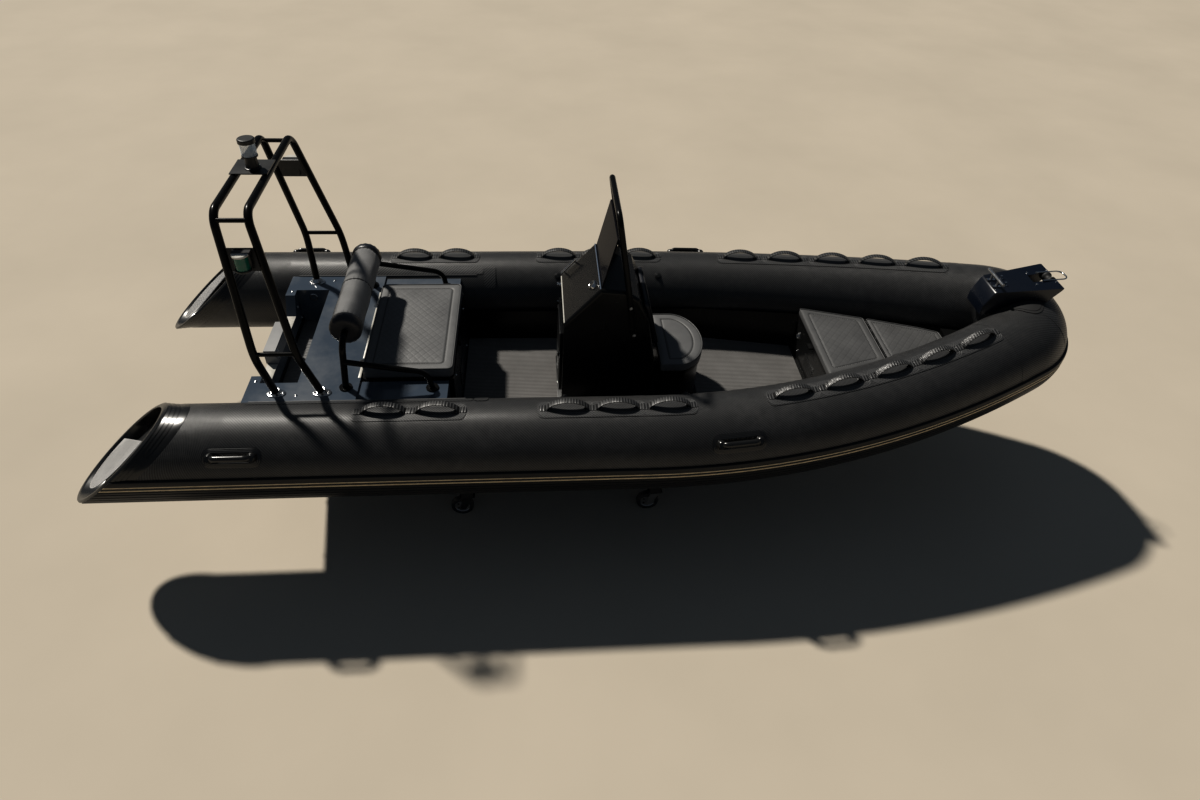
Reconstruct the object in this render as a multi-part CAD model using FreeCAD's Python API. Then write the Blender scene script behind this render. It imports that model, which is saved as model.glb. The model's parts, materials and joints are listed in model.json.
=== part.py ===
import FreeCAD, Part
import math
import os

os.makedirs("parts", exist_ok=True)

V = FreeCAD.Vector
made = {}

# Driving sizes in millimetres: X to the bow, Y to port, Z up, floor at 0
tube_radius = 224.0
half_track = 695.0
tube_height = 703.0
stern_end = -2366.0
cut_slope = 1.136
bend_start = 97.0
side_arc_radius = 4859.0
side_arc_angle = math.radians(24.9)
sheer_start = 216.0
sheer_rise = 177.0
sheer_length = 1990.0
bow_seam_angle = math.radians(23.7)

sole_height = 510.0
sole_mat = 8.0
well_bottom = sole_height - sole_mat
deck_height = 880.0
transom_aft = -1806.0
transom_thick = 52.0
seat_aft = -1268.0
seat_front = -818.0
seat_half = 392.0
seat_top = 937.0
cushion_thick = 62.0
lid_thick = 16.0
lid_gap = 0.3
hinge_radius = 5.5
hinge_pin = 3.0
hinge_fit = 0.1
hinge_leaf = 2.0

console_half = 232.0
console_aft = -276.0
bow_seat_top = 800.0
bow_seat_aft = 1150.0
bow_seat_split = 1512.0
bow_seat_front = 1905.0

wheel_radius = 62.0
wheel_width = 38.0
wheel_aft = -795.0
wheel_fore = 238.0
wheel_side = 505.0


def keep(name, shape):
    made[name] = shape


def box(x0, x1, y0, y1, z0, z1):
    return Part.makeBox(x1 - x0, y1 - y0, z1 - z0, V(x0, y0, z0))


def block(points, y0, y1):
    # prism with its outline drawn in X and Z, between two Y values
    wire = Part.makePolygon([V(x, y0, z) for x, z in points + points[:1]])
    return Part.Face(wire).extrude(V(0, y1 - y0, 0))


def plate(points, z0, z1):
    # prism with its outline drawn in X and Y, between two Z values
    wire = Part.makePolygon([V(x, y, z0) for x, y in points + points[:1]])
    return Part.Face(wire).extrude(V(0, 0, z1 - z0))


def rod(p, q, radius):
    axis = V(*q) - V(*p)
    return Part.makeCylinder(radius, axis.Length, V(*p), axis)


def mirrored(shape):
    return shape.mirror(V(0, 0, 0), V(0, 1, 0))


def both_sides(shape):
    # a starboard piece and its port twin as one shape
    return shape.fuse(mirrored(shape))


def largest(shape):
    return sorted(shape.Solids, key=lambda s: s.Volume)[-1]


def rounded(shape, radius, pick):
    edges = [e for e in shape.Edges if pick(e)]
    return shape.makeFillet(radius, edges)


def upright(edge):
    p, q = edge.Vertexes[0].Point, edge.Vertexes[-1].Point
    return abs(p.z - q.z) > 0.9 * edge.Length


def bent_path(points, bends):
    # straight runs joined by a tangent arc at each inner corner
    corners = [V(*p) for p in points]
    edges = []
    start = corners[0]
    for a, b, c, bend in zip(corners, corners[1:], corners[2:], bends):
        u = (a - b).normalize()
        w = (c - b).normalize()
        half = u.getAngle(w) / 2
        p = b + u * (bend / math.tan(half))
        q = b + w * (bend / math.tan(half))
        inward = (u + w).normalize()
        mid = b + inward * (bend / math.sin(half) - bend)
        edges.append(Part.makeLine(start, p))
        edges.append(Part.Arc(p, mid, q).toShape())
        start = q
    edges.append(Part.makeLine(start, corners[-1]))
    return Part.Wire(edges)


def barrel_hinge(centre, axis, length):
    # a fixed middle knuckle on its pin, and the moving knuckles each side of it
    centre, axis = V(*centre), V(*axis)
    third = length / 3

    def turned(radius, low, high):
        return Part.makeCylinder(radius, high - low, centre + axis * low, axis)

    fixed = turned(hinge_radius, -third / 2, third / 2).fuse(turned(hinge_pin, -length / 2, length / 2))
    ends = [turned(hinge_radius, third / 2 + 1, length / 2)]
    ends.append(turned(hinge_radius, -length / 2, -third / 2 - 1))
    bore = turned(hinge_pin + hinge_fit, -length, length)
    return fixed, [end.cut(bore) for end in ends]


def bent_tube(points, bends, radius):
    path = bent_path(points, bends)
    start, second = V(*points[0]), V(*points[1])
    ring = Part.Wire(Part.makeCircle(radius, start, second - start))
    return path.makePipeShell([ring], True, False)


# Plan of the tube axis: straight, a long side arc, then a tight bow arc
arc_end_x = bend_start + side_arc_radius * math.sin(side_arc_angle)
arc_end_y = half_track - side_arc_radius * (1 - math.cos(side_arc_angle))
bow_radius = arc_end_y / math.cos(side_arc_angle)
bow_centre_x = arc_end_x - bow_radius * math.sin(side_arc_angle)


def axis_height(x):
    t = max(0.0, x - sheer_start) / sheer_length
    return tube_height + sheer_rise * t * t


def axis_slope(x):
    t = max(0.0, x - sheer_start) / sheer_length
    return 2 * sheer_rise * t / sheer_length


def side_point(angle):
    x = bend_start + side_arc_radius * math.sin(angle)
    y = half_track - side_arc_radius * (1 - math.cos(angle))
    return V(x, -y, axis_height(x))


def side_heading(angle):
    x = bend_start + side_arc_radius * math.sin(angle)
    flat = V(math.cos(angle), math.sin(angle), 0)
    return V(flat.x, flat.y, axis_slope(x) * flat.x).normalize()


def bow_point(angle):
    x = bow_centre_x + bow_radius * math.sin(angle)
    y = bow_radius * math.cos(angle)
    return V(x, -y, axis_height(x))


def half_width(x):
    # plan half width of the tube axis at a station
    if x <= bend_start:
        return half_track
    if x <= arc_end_x:
        return half_track - side_arc_radius + math.sqrt(side_arc_radius ** 2 - (x - bend_start) ** 2)
    return math.sqrt(max(0.0, bow_radius ** 2 - (x - bow_centre_x) ** 2))


def smooth(points, first, last):
    curve = Part.BSplineCurve()
    curve.interpolate(Points=points, InitialTangent=first, FinalTangent=last)
    return curve.toShape()


def side_run(a0, a1, count):
    points = [side_point(a0 + (a1 - a0) * i / count) for i in range(count + 1)]
    return smooth(points, side_heading(a0), side_heading(a1))


def bow_run():
    # from the starboard seam round the nose to the port seam
    near = [side_point(a) for a in (bow_seam_angle, (bow_seam_angle + side_arc_angle) / 2, side_arc_angle)]
    step = (math.pi / 2 - side_arc_angle) / 4
    near += [bow_point(side_arc_angle + step * i) for i in (1, 2, 3)]
    nose = bow_point(math.pi / 2)
    far = [V(p.x, -p.y, p.z) for p in reversed(near)]
    first = side_heading(bow_seam_angle)
    last = V(-first.x, first.y, -first.z)
    return smooth(near + [nose] + far, first, last)


def ring_at(edge, radius):
    start = edge.valueAt(edge.FirstParameter)
    return Part.Wire(Part.makeCircle(radius, start, edge.tangentAt(edge.FirstParameter)))


def run_tube(edge, radius):
    return Part.Wire(edge).makePipeShell([ring_at(edge, radius)], True, False)


side_edge = side_run(0.0, bow_seam_angle, 5)
bow_edge = bow_run()
fore_start = V(bend_start, -half_track, tube_height)


def aft_tube(radius, x0):
    return Part.makeCylinder(radius, bend_start - x0, V(x0, -half_track, tube_height), V(1, 0, 0))


aft_solid = aft_tube(tube_radius, stern_end - 400)
side_solid = run_tube(side_edge, tube_radius)
bow_solid = run_tube(bow_edge, tube_radius)

# The slanted stern cut, as a block behind a sloping plane
def behind_cut(offset):
    low, high = -700.0, 700.0
    x_low = stern_end + offset + cut_slope * low
    x_high = stern_end + offset + cut_slope * high
    z = tube_height
    return block([(-4200, z + low), (x_low, z + low), (x_high, z + high), (-4200, z + high)], -1200, 1200)


cone_length = 120.0
cone_wall = 16.0
cone_depth = 95.0
aft_fabric = aft_solid.cut(behind_cut(cone_length))
keep("collar_aft", Part.makeCompound([aft_fabric, mirrored(aft_fabric)]))
keep("collar_fore", Part.makeCompound([side_solid, mirrored(side_solid)]))
keep("collar_bow", bow_solid)

# Stern cones: a short moulded end with a rim and a sunk closing plate
cone = aft_solid.common(behind_cut(cone_length)).cut(behind_cut(0))
hollow = aft_tube(tube_radius - cone_wall, stern_end - 500).common(behind_cut(cone_depth))
cone = cone.cut(hollow)
keep("stern_cones", both_sides(cone))

# Rubbing strake round the outside, low on the tube
strake_thick = 13.0
strake_top = math.radians(9)
strake_low = math.radians(-38)
strake_glue = 1.0
strake_spare = 3.0


def strake_profile(origin, outward, inner=tube_radius):
    outer = tube_radius + strake_thick

    def at(radius, angle):
        return origin + outward * (radius * math.cos(angle)) + V(0, 0, radius * math.sin(angle))

    middle = (strake_top + strake_low) / 2
    edges = [
        Part.Arc(at(inner, strake_low), at(inner, middle), at(inner, strake_top)).toShape(),
        Part.makeLine(at(inner, strake_top), at(outer, strake_top - 0.06)),
        Part.Arc(at(outer, strake_top - 0.06), at(outer, middle), at(outer, strake_low + 0.06)).toShape(),
        Part.makeLine(at(outer, strake_low + 0.06), at(inner, strake_low)),
    ]
    return Part.Wire(edges)


def strake_run(edge, start, outward, inner=tube_radius):
    maker = Part.BRepOffsetAPI.MakePipeShell(Part.Wire(edge))
    maker.setBiNormalMode(V(0, 0, 1))
    maker.add(strake_profile(start, outward, inner))
    maker.build()
    maker.makeSolid()
    return maker.shape()


aft_strake = Part.Face(strake_profile(V(stern_end - 400, -half_track, tube_height), V(0, -1, 0)))
aft_strake = aft_strake.extrude(V(bend_start - stern_end + 400, 0, 0)).cut(behind_cut(14.0))
side_strake = strake_run(side_edge, fore_start, V(0, -1, 0))
seam = side_heading(bow_seam_angle)
bow_outward = V(seam.y, -seam.x, 0).normalize()
bow_strake = strake_run(bow_edge, side_point(bow_seam_angle), bow_outward, tube_radius - strake_spare)
bow_strake = bow_strake.cut(run_tube(bow_edge, tube_radius + strake_glue))
keep("rubbing_strake", both_sides(aft_strake.fuse(side_strake)).fuse(bow_strake))

tubes = [aft_solid, side_solid, bow_solid, mirrored(side_solid), mirrored(aft_solid)]

# Hull: a vee bottom with hard chines under the tubes, solid to the sole
keel_height = 300.0
hull_rows = [
    # x, keel z, chine y, chine z, wall y, top z
    (transom_aft, keel_height, 590.0, 486.0, 500.0, 700.0),
    (-300.0, keel_height, 590.0, 486.0, 500.0, 700.0),
    (700.0, 312.0, 555.0, 500.0, 460.0, 716.0),
    (1350.0, 384.0, 420.0, 560.0, 320.0, 750.0),
    (1850.0, 540.0, 235.0, 650.0, 170.0, 800.0),
    (2200.0, 735.0, 60.0, 760.0, 50.0, 850.0),
]


def hull_section(row):
    x, keel, chine_y, chine_z, wall_y, top = row
    outline = [(0, keel), (chine_y, chine_z), (chine_y, chine_z + 18), (wall_y, top)]
    outline += [(-y, z) for y, z in reversed(outline[1:])]
    return Part.makePolygon([V(x, y, z) for y, z in outline + outline[:1]])


hull_body = Part.makeLoft([hull_section(r) for r in hull_rows], True, True)
well_rows = [
    # x, half width
    (-1750.0, 452.0), (600.0, 436.0), (1100.0, 345.0),
    (1500.0, 235.0), (1800.0, 132.0), (1915.0, 78.0),
]


def well_outline(rows, inset):
    side = [(x, y - inset) for x, y in rows]
    return side + [(x, -y) for x, y in reversed(side)]


cockpit = plate(well_outline(well_rows, 0.0), well_bottom, 1000.0)
floor_shape = [(-1800, well_bottom), (1480, well_bottom), (1960, 690), (1960, 1100), (-1800, 1100)]
above_floor = block(floor_shape, -600, 600)
hull_body = hull_body.cut(cockpit.common(above_floor))
for tube in tubes:
    hull_body = hull_body.cut(tube)
keep("hull", largest(hull_body))

# Sole mat in the open cockpit, between the stern box and the bow locker
mat_rows = [(seat_front + 6, 436.0), (600.0, 424.0), (bow_seat_aft - 6, 322.0)]
mat = plate(well_outline(mat_rows, 0.0), well_bottom, sole_height)
mat = mat.cut(box(console_aft - 4, 500, -console_half, console_half, sole_height - 20, sole_height + 20))
keep("sole_mat", mat)

# Aft deck moulding: solid block over the stern with an open motor well
well_aft = -1754.0
well_front = -1600.0
well_floor = 668.0
well_half = 414.0
notch_half = 300.0
notch_height = 780.0
deck_front = seat_aft - 6.0
wing_inner = seat_half + 10.0
wing_height = 868.0
wing_front = -842.0
deck_lower = box(well_aft + 4, deck_front, -451, 451, well_bottom, 720)
deck_lower = deck_lower.cut(plate([(-1760, 452.0), (-1200, 450.0), (-1200, 600), (-1760, 600)], 400, 900))
deck_upper = box(transom_aft, deck_front, -565, 565, 700, deck_height)
deck_block = deck_lower.fuse(deck_upper)
for side in (-1, 1):
    y0, y1 = sorted((side * wing_inner, side * 565))
    deck_block = deck_block.fuse(box(deck_front - 5, wing_front, y0, y1, 720, wing_height))
well_shape = [(well_aft, 1000), (well_aft, well_floor), (well_front, well_floor), (well_front + 42, 1000)]
deck_block = deck_block.cut(block(well_shape, -well_half, well_half))
notch = Part.makePolygon([
    V(transom_aft - 10, -notch_half - 60, deck_height + 1), V(transom_aft - 10, -notch_half, notch_height),
    V(transom_aft - 10, notch_half, notch_height), V(transom_aft - 10, notch_half + 60, deck_height + 1),
    V(transom_aft - 10, -notch_half - 60, deck_height + 1)])
deck_block = deck_block.cut(Part.Face(notch).extrude(V(transom_thick + 20, 0, 0)))
for tube in (aft_solid, mirrored(aft_solid)):
    deck_block = deck_block.cut(tube)
deck_block = deck_block.cut(made["hull"])
keep("aft_deck", largest(deck_block))

# Clamp board on the transom, where an outboard hangs
pad_half = 132.0
pad_top = 861.0
keep("transom_board", box(transom_aft - 6, well_aft + 2, -pad_half, pad_half, notch_height, pad_top))

# Stern seat: box, hinged lid and quilted cushion
lid_bottom = seat_top - cushion_thick - lid_thick
box_wall = 14.0
stern_box = box(seat_aft, seat_front, -seat_half, seat_half, well_bottom, lid_bottom - lid_gap)
space_half = seat_half - box_wall
stern_box = stern_box.cut(box(seat_aft + box_wall, seat_front - box_wall, -space_half, space_half,
                              sole_height + box_wall, lid_bottom + 1))
keep("stern_seat_box", stern_box)
lid_front = seat_front + 1.0
lid_top = lid_bottom + lid_thick
stern_lid = rounded(box(seat_aft, lid_front, -seat_half, seat_half, lid_bottom, lid_top), 24, upright)
stern_lid = stern_lid.fuse(box(lid_front, lid_front + 10, -70, -24, lid_bottom - 22, lid_bottom + 10))
stern_hinge_x = seat_aft - 3.0
stern_hinge_z = deck_height + hinge_radius + 1.0
stern_hinges = []
for y in (-250.0, 250.0):
    fixed, moving = barrel_hinge((stern_hinge_x, y, stern_hinge_z), (0, 1, 0), 66)
    leaf = box(stern_hinge_x - 30, stern_hinge_x, y - 11, y + 11, deck_height, deck_height + hinge_leaf)
    stern_hinges.append(fixed.fuse(leaf))
    ears = [box(seat_aft - hinge_leaf, seat_aft, y0, y0 + 20, lid_bottom + 2, stern_hinge_z)
            for y0 in (y - 32, y + 12)]
    ears = [ear.cut(rod((stern_hinge_x, y - 60, stern_hinge_z), (stern_hinge_x, y + 60, stern_hinge_z),
                        hinge_pin + hinge_fit)) for ear in ears]
    stern_lid = stern_lid.fuse(moving + ears)
keep("stern_seat_lid", stern_lid)
cushion_aft = stern_hinge_x + hinge_radius + 2.0
stern_cushion = box(cushion_aft, seat_front - 2, -seat_half + 4, seat_half - 4, lid_top, seat_top)
stern_cushion = rounded(stern_cushion, 26, upright)
stern_cushion = rounded(stern_cushion, 14, lambda e: min(v.Z for v in e.Vertexes) > seat_top - 0.1)
keep("stern_seat_cushion", stern_cushion)

# Roll backrest on a bent tube frame with side rails
roll_x = -1312.0
roll_z = 1142.0
roll_half = 358.0
roll_radius = 76.0
cap_long = 54.0
frame_radius = 16.0
frame_side = 458.0
rail_drop_x = -934.0


def roll_part(y0, y1, radius):
    return rod((roll_x, y0, roll_z), (roll_x, y1, roll_z), radius)


core_half = roll_half - cap_long
keep("backrest_roll", roll_part(-core_half, core_half, roll_radius))
cap = roll_part(core_half, roll_half, roll_radius + 1)
cap = rounded(cap, 24, lambda e: abs(e.CenterOfMass.y - roll_half) < 0.1 and len(e.Vertexes) == 1)
keep("backrest_caps", both_sides(cap))

post = bent_tube([(roll_x, roll_half, roll_z), (roll_x, frame_side - 14, roll_z),
                  (roll_x - 22, frame_side, deck_height)], [60], frame_radius)
rail = bent_tube([(roll_x - 12, frame_side - 6, 1034), (rail_drop_x, frame_side, 966),
                  (rail_drop_x + 16, frame_side, wing_height)], [70], frame_radius - 2)
frame_side_shape = post.fuse(rail)
for x, z in ((roll_x - 22, deck_height), (rail_drop_x + 16, wing_height)):
    frame_side_shape = frame_side_shape.fuse(rod((x, frame_side, z), (x, frame_side, z + 7), 31))
keep("backrest_frame", both_sides(frame_side_shape).cut(made["aft_deck"]))

# Radar arch: two bent hoops that lean aft, on flanges at the deck edges
arch_radius = 18.0
rung_radius = 10.0
foot_y, knee_y, top_y = 496.0, 562.0, 404.0
foot_z, knee_z, top_z = deck_height, 1152.0, 1785.0
arch_rows = [
    # foot x, knee x, top x
    (-1655.0, -1678.0, -1736.0),
    (-1440.0, -1488.0, -1598.0),
]


def arch_corner(row, level, side):
    y = (foot_y, knee_y, top_y)[level]
    z = (foot_z, knee_z, top_z)[level]
    return (row[level], side * y, z)


hoops = []
for row in arch_rows:
    corners = [arch_corner(row, i, -1) for i in range(3)] + [arch_corner(row, i, 1) for i in (2, 1, 0)]
    hoops.append(bent_tube(corners, [260, 78, 78, 260], arch_radius))


def along(level0, level1, share, side, inset=0.0):
    # the two points where the hoops pass a level, for what spans between them
    ends = []
    for row, sign in zip(arch_rows, (1, -1)):
        a, b = V(*arch_corner(row, level0, side)), V(*arch_corner(row, level1, side))
        p = a + (b - a) * share
        ends.append((p.x + sign * inset, p.y, p.z))
    return ends


rungs = []
for side in (-1, 1):
    for level0, level1, share in ((1, 2, 0.02), (1, 2, 0.955)):
        p, q = along(level0, level1, share, side)
        rungs.append(rod(p, q, rung_radius))
arch = hoops[0].fuse([hoops[1]] + rungs)
keep("arch_frame", arch.cut(made["aft_deck"]))
feet = []
for row in arch_rows:
    for side in (-1, 1):
        x, y = row[0], side * foot_y
        foot = rod((x, y, deck_height), (x, y, deck_height + 6), 36)
        foot = foot.fuse(rod((x, y, deck_height), (x, y, deck_height + 22), arch_radius + 7))
        for turn in range(3):
            angle = math.radians(120 * turn + 30)
            bx, by = x + 30 * math.cos(angle), y + 30 * math.sin(angle)
            foot = foot.fuse(rod((bx, by, deck_height + 6), (bx, by, deck_height + 11), 5))
        foot = foot.cut(hoops[0]).cut(hoops[1])
        feet.append(foot)
feet_shape = feet[0].fuse(feet[1:])
for tube in (aft_solid, mirrored(aft_solid)):
    feet_shape = feet_shape.cut(tube)
keep("arch_feet", feet_shape)

# Light plate on the top bars and side panels between the legs
plate_z = top_z + arch_radius
light_plate = box(arch_rows[0][2] - 14, arch_rows[1][2] + 14, -78, 72, plate_z, plate_z + 5)
panel_low, panel_high = 0.62, 0.775
panels = []
for side in (-1, 1):
    low = along(1, 2, panel_low, side)
    high = along(1, 2, panel_high, side)
    face = Part.Face(Part.makePolygon([V(*low[0]), V(*low[1]), V(*high[1]), V(*high[0]), V(*low[0])]))
    normal = face.normalAt(0, 0)
    panel = face.extrude(normal * 6)
    panel.translate(normal * -3)
    panels.append(panel)

# All-round light on the top plate
beacon_x = -1662.0
beacon_y = -12.0
beacon_base = plate_z + 5


def beacon_part(low, high, radius):
    return rod((beacon_x, beacon_y, beacon_base + low), (beacon_x, beacon_y, beacon_base + high), radius)


beacon_stem = Part.makeCone(30, 25, 58, V(beacon_x, beacon_y, beacon_base), V(0, 0, 1))
lens_low, lens_high, cap_high = 58.0, 116.0, 136.0
keep("beacon_lens", beacon_part(lens_low, lens_high, 34))
beacon_cap = beacon_part(lens_high, cap_high, 38)
beacon_top = beacon_base + cap_high
beacon_cap = rounded(beacon_cap, 6, lambda e: len(e.Vertexes) == 1 and e.CenterOfMass.z > beacon_top - 1)
keep("beacon_body", Part.makeCompound([beacon_stem, beacon_cap]))

# Side lights on the panels, red to port and green to starboard
lamp_x = -1640.0
lamp_z = 1598.0
housings = []
for name, side in (("side_light_green", -1), ("side_light_red", 1)):
    face_y = along(1, 2, 0.69, side)[0][1] + side * 4
    back_y = face_y + side * 22
    housing = box(lamp_x - 38, lamp_x + 38, *sorted((face_y - side * 8, back_y)), lamp_z - 42, lamp_z + 42)
    lens = rod((lamp_x, back_y, lamp_z - 32), (lamp_x, back_y, lamp_z + 32), 30)
    outside = sorted((back_y, back_y + side * 60))
    keep(name, lens.common(box(lamp_x - 60, lamp_x + 60, *outside, lamp_z - 60, lamp_z + 60)))
    housings.append(housing)
arch_plates = light_plate.fuse(panels + housings).cut(hoops)
keep("arch_plates", arch_plates)

# Helm console with a sloped dash
dash_low_x, dash_low_z = -262.0, 1082.0
dash_top_x, dash_top_z = -84.0, 1282.0
console_shape = [(console_aft, well_bottom), (dash_low_x, dash_low_z), (dash_top_x, dash_top_z), (44, 1268),
                 (112, 1222), (168, 1100), (212, 860), (214, well_bottom)]
console = block(console_shape, -console_half, console_half)


def along_side(edge):
    # edges of the side faces above the foot
    p, q = edge.Vertexes[0], edge.Vertexes[-1]
    return abs(p.Y - q.Y) < 0.1 and min(p.Z, q.Z) > sole_height + 10


console = rounded(console, 18, along_side)
keep("console_body", console)
keep("windscreen", block([(-83, 1264), (-75, 1264), (-6, 1545), (-14, 1545)], -206, 206).cut(console))

# Grab hoop over the console, bolted down its sides
hoop_radius = 15.0
hoop_side = console_half + hoop_radius
hoop_top = 1672.0
hoop_points = [(96, -hoop_side, 1010), (52, -hoop_side, 1285), (-12, -hoop_side + 12, hoop_top)]
hoop_points += [(x, -y, z) for x, y, z in reversed(hoop_points)]
keep("console_hoop", bent_tube(hoop_points, [500, 62, 62, 500], hoop_radius).cut(console))
bolts = []
for side in (-1, 1):
    for x, z in ((92, 1032), (66, 1196)):
        y = side * (hoop_side + hoop_radius - 3)
        bolts.append(rod((x, y, z), (x, y + side * 8, z), 8))
bolts = [b.cut(made["console_hoop"]) for b in bolts]

# Oval boss and a short grab rail on the dash
dash_along = V(dash_top_x - dash_low_x, 0, dash_top_z - dash_low_z).normalize()
dash_out = V(-dash_along.z, 0, dash_along.x)


def on_dash(run, y):
    return V(dash_low_x, y, dash_low_z) + dash_along * run


boss = Part.makeCylinder(20, 12, on_dash(222, -132) - dash_out, dash_out)
boss = boss.cut(console)
rail_feet = []
for run in (40, 128):
    base = on_dash(run, 196)
    rail_feet.append(Part.makeCylinder(5, 24, base, dash_out))
rail_bar = Part.makeCylinder(6, 112, on_dash(28, 196) + dash_out * 24, dash_along)
dash_rail = rail_bar.fuse(rail_feet).cut(console)

# Hinged door in the aft face of the console
door_low, door_high, door_half = 600.0, 980.0, 168.0
door_thick = 14.0


def aft_face_x(z):
    return console_aft + (z - well_bottom) * (dash_low_x - console_aft) / (dash_low_z - well_bottom)


door_outline = [(aft_face_x(door_low) - door_thick, door_low), (aft_face_x(door_low) - 1, door_low),
                (aft_face_x(door_high) - 1, door_high), (aft_face_x(door_high) - door_thick, door_high)]
door = block(door_outline, -door_half, door_half)
latch_z = 815.0
latch_x = aft_face_x(latch_z) - door_thick
door = door.fuse(rod((latch_x, -128, latch_z), (latch_x - 9, -128, latch_z), 15))
door_hinge_x = console_aft - hinge_radius - 1.0
door_hinge_y = door_half + hinge_radius + 1.0
door_hinges = []
for z in (660.0, 920.0):
    fixed, moving = barrel_hinge((door_hinge_x, door_hinge_y, z), (0, 0, 1), 66)
    leaf = box(door_hinge_x - 1, console_aft + 20, door_hinge_y, door_hinge_y + 26, z - 11, z + 11)
    door_hinges.append(fixed.fuse(leaf).cut(console))
    pin_bore = Part.makeCylinder(hinge_pin + hinge_fit, 120, V(door_hinge_x, door_hinge_y, z - 60))
    ears = [box(door_hinge_x - hinge_leaf, door_hinge_x + 8, door_half - 6, door_half + 2, z0, z0 + 20)
            for z0 in (z - 32, z + 12)]
    door = door.fuse(moving + [ear.cut(pin_bore) for ear in ears])
keep("console_door", door)
keep("console_fittings", Part.makeCompound([dash_rail, boss] + bolts + door_hinges))

# Padded backrest on the forward face of the console
pad_foot, pad_head = V(204, 0, 905), V(136, 0, 1170)
pad_up = (pad_head - pad_foot).normalize()
pad_out = V(pad_up.z, 0, -pad_up.x)
pad_thick = 36.0
pad_face = [pad_foot, pad_foot + pad_out * pad_thick, pad_head + pad_out * pad_thick, pad_head]
pad = block([(p.x, p.z) for p in pad_face], -190, 190)
pad = pad.cut(console)
keep("console_backrest", pad)

# Seat ahead of the console: base, lid and a half-round cushion
fore_seat_aft = 252.0
fore_seat_tip = 512.0
fore_seat_half = 238.0
fore_seat_top = 822.0
fore_cushion = 52.0
fore_lid_bottom = fore_seat_top - fore_cushion - lid_thick


def rounded_seat(inset, z0, z1):
    # straight sides from the console, then half an ellipse
    aft, half, tip = fore_seat_aft + inset, fore_seat_half - inset, fore_seat_tip - inset
    shoulder = aft + 96
    outline = Part.Ellipse(V(shoulder, half, z0), V(tip, 0, z0), V(shoulder, 0, z0)).toShape()
    nose = Part.Face(Part.Wire(outline)).extrude(V(0, 0, z1 - z0))
    nose = nose.cut(box(aft - 400, shoulder, -half - 9, half + 9, z0 - 9, z1 + 9))
    return nose.fuse(box(aft, shoulder, -half, half, z0, z1)).removeSplitter()


base_inset = 16.0
fore_base = rounded_seat(base_inset, well_bottom, fore_lid_bottom - lid_gap)
fore_base = fore_base.cut(rounded_seat(base_inset + box_wall, sole_height + box_wall, fore_lid_bottom + 1))
fore_lid = rounded_seat(4, fore_lid_bottom, fore_lid_bottom + lid_thick)
fore_hinge_y = fore_seat_half - base_inset + hinge_radius + 1.0
fore_hinge_z = fore_lid_bottom - hinge_radius - 1.0
for x in (286.0, 334.0):
    fixed, moving = barrel_hinge((x, fore_hinge_y, fore_hinge_z), (1, 0, 0), 36)
    side_y = fore_seat_half - base_inset
    leaf = box(x - 6, x + 6, side_y, side_y + hinge_leaf, fore_hinge_z - 26, fore_hinge_z)
    fore_base = fore_base.fuse([fixed, leaf])
    ear_low = fore_lid_bottom - hinge_leaf
    ears = [box(x0, x0 + 10, fore_hinge_y - 2, fore_seat_half - 6, ear_low, fore_lid_bottom)
            for x0 in (x - 18, x + 8)]
    fore_lid = fore_lid.fuse(moving + ears)
keep("fore_seat_base", fore_base)
keep("fore_seat_lid", fore_lid)
fore_pad = rounded_seat(0, fore_lid_bottom + lid_thick, fore_seat_top)
fore_pad = rounded(fore_pad, 12, lambda e: min(v.Z for v in e.Vertexes) > fore_seat_top - 0.1)
keep("fore_seat_cushion", fore_pad)

# Bow locker under a two part quilted cushion; the aft part lifts with its lid
bow_lid_bottom = bow_seat_top - 44.0 - lid_thick
bow_lid_top = bow_lid_bottom + lid_thick
locker_rows = [(bow_seat_aft, 316.0), (bow_seat_split, 206.0), (1800.0, 108.0), (bow_seat_front, 60.0)]


def locker_half(x):
    for (x0, y0), (x1, y1) in zip(locker_rows, locker_rows[1:]):
        if x <= x1:
            return y0 + (y1 - y0) * (x - x0) / (x1 - x0)
    return locker_rows[-1][1]


def locker_part(x0, x1, inset, z0, z1):
    rows = [(x0, locker_half(x0) - inset)] + [r for r in locker_rows if x0 < r[0] < x1]
    rows = [rows[0]] + [(x, y - inset) for x, y in rows[1:]] + [(x1, locker_half(x1) - inset)]
    return plate(well_outline(rows, 0.0), z0, z1)


locker_half_gap = hinge_radius + 1.0
locker_aft = bow_seat_aft + 10.0
locker = locker_part(locker_aft, bow_seat_front, 8, well_bottom, bow_lid_bottom - lid_gap)
locker_space = locker_part(locker_aft + box_wall, bow_seat_split - 20, 8 + box_wall,
                           sole_height + box_wall, bow_lid_bottom + 1)
locker = locker.cut(locker_space)
locker = locker.common(above_floor)
deck_fore = locker_part(bow_seat_split + hinge_leaf, bow_seat_front, 8, bow_lid_bottom - 6, bow_lid_top)
locker = largest(locker.fuse(deck_fore).cut(made["hull"]))
bow_lid = locker_part(bow_seat_aft + 4, bow_seat_split - hinge_leaf, 4, bow_lid_bottom, bow_lid_top)
bow_latch = box(bow_seat_aft - 24, bow_seat_aft + 4, -24, 24, bow_lid_bottom + 2, bow_lid_bottom + 10)
bow_lid = bow_lid.fuse(bow_latch)

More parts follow.
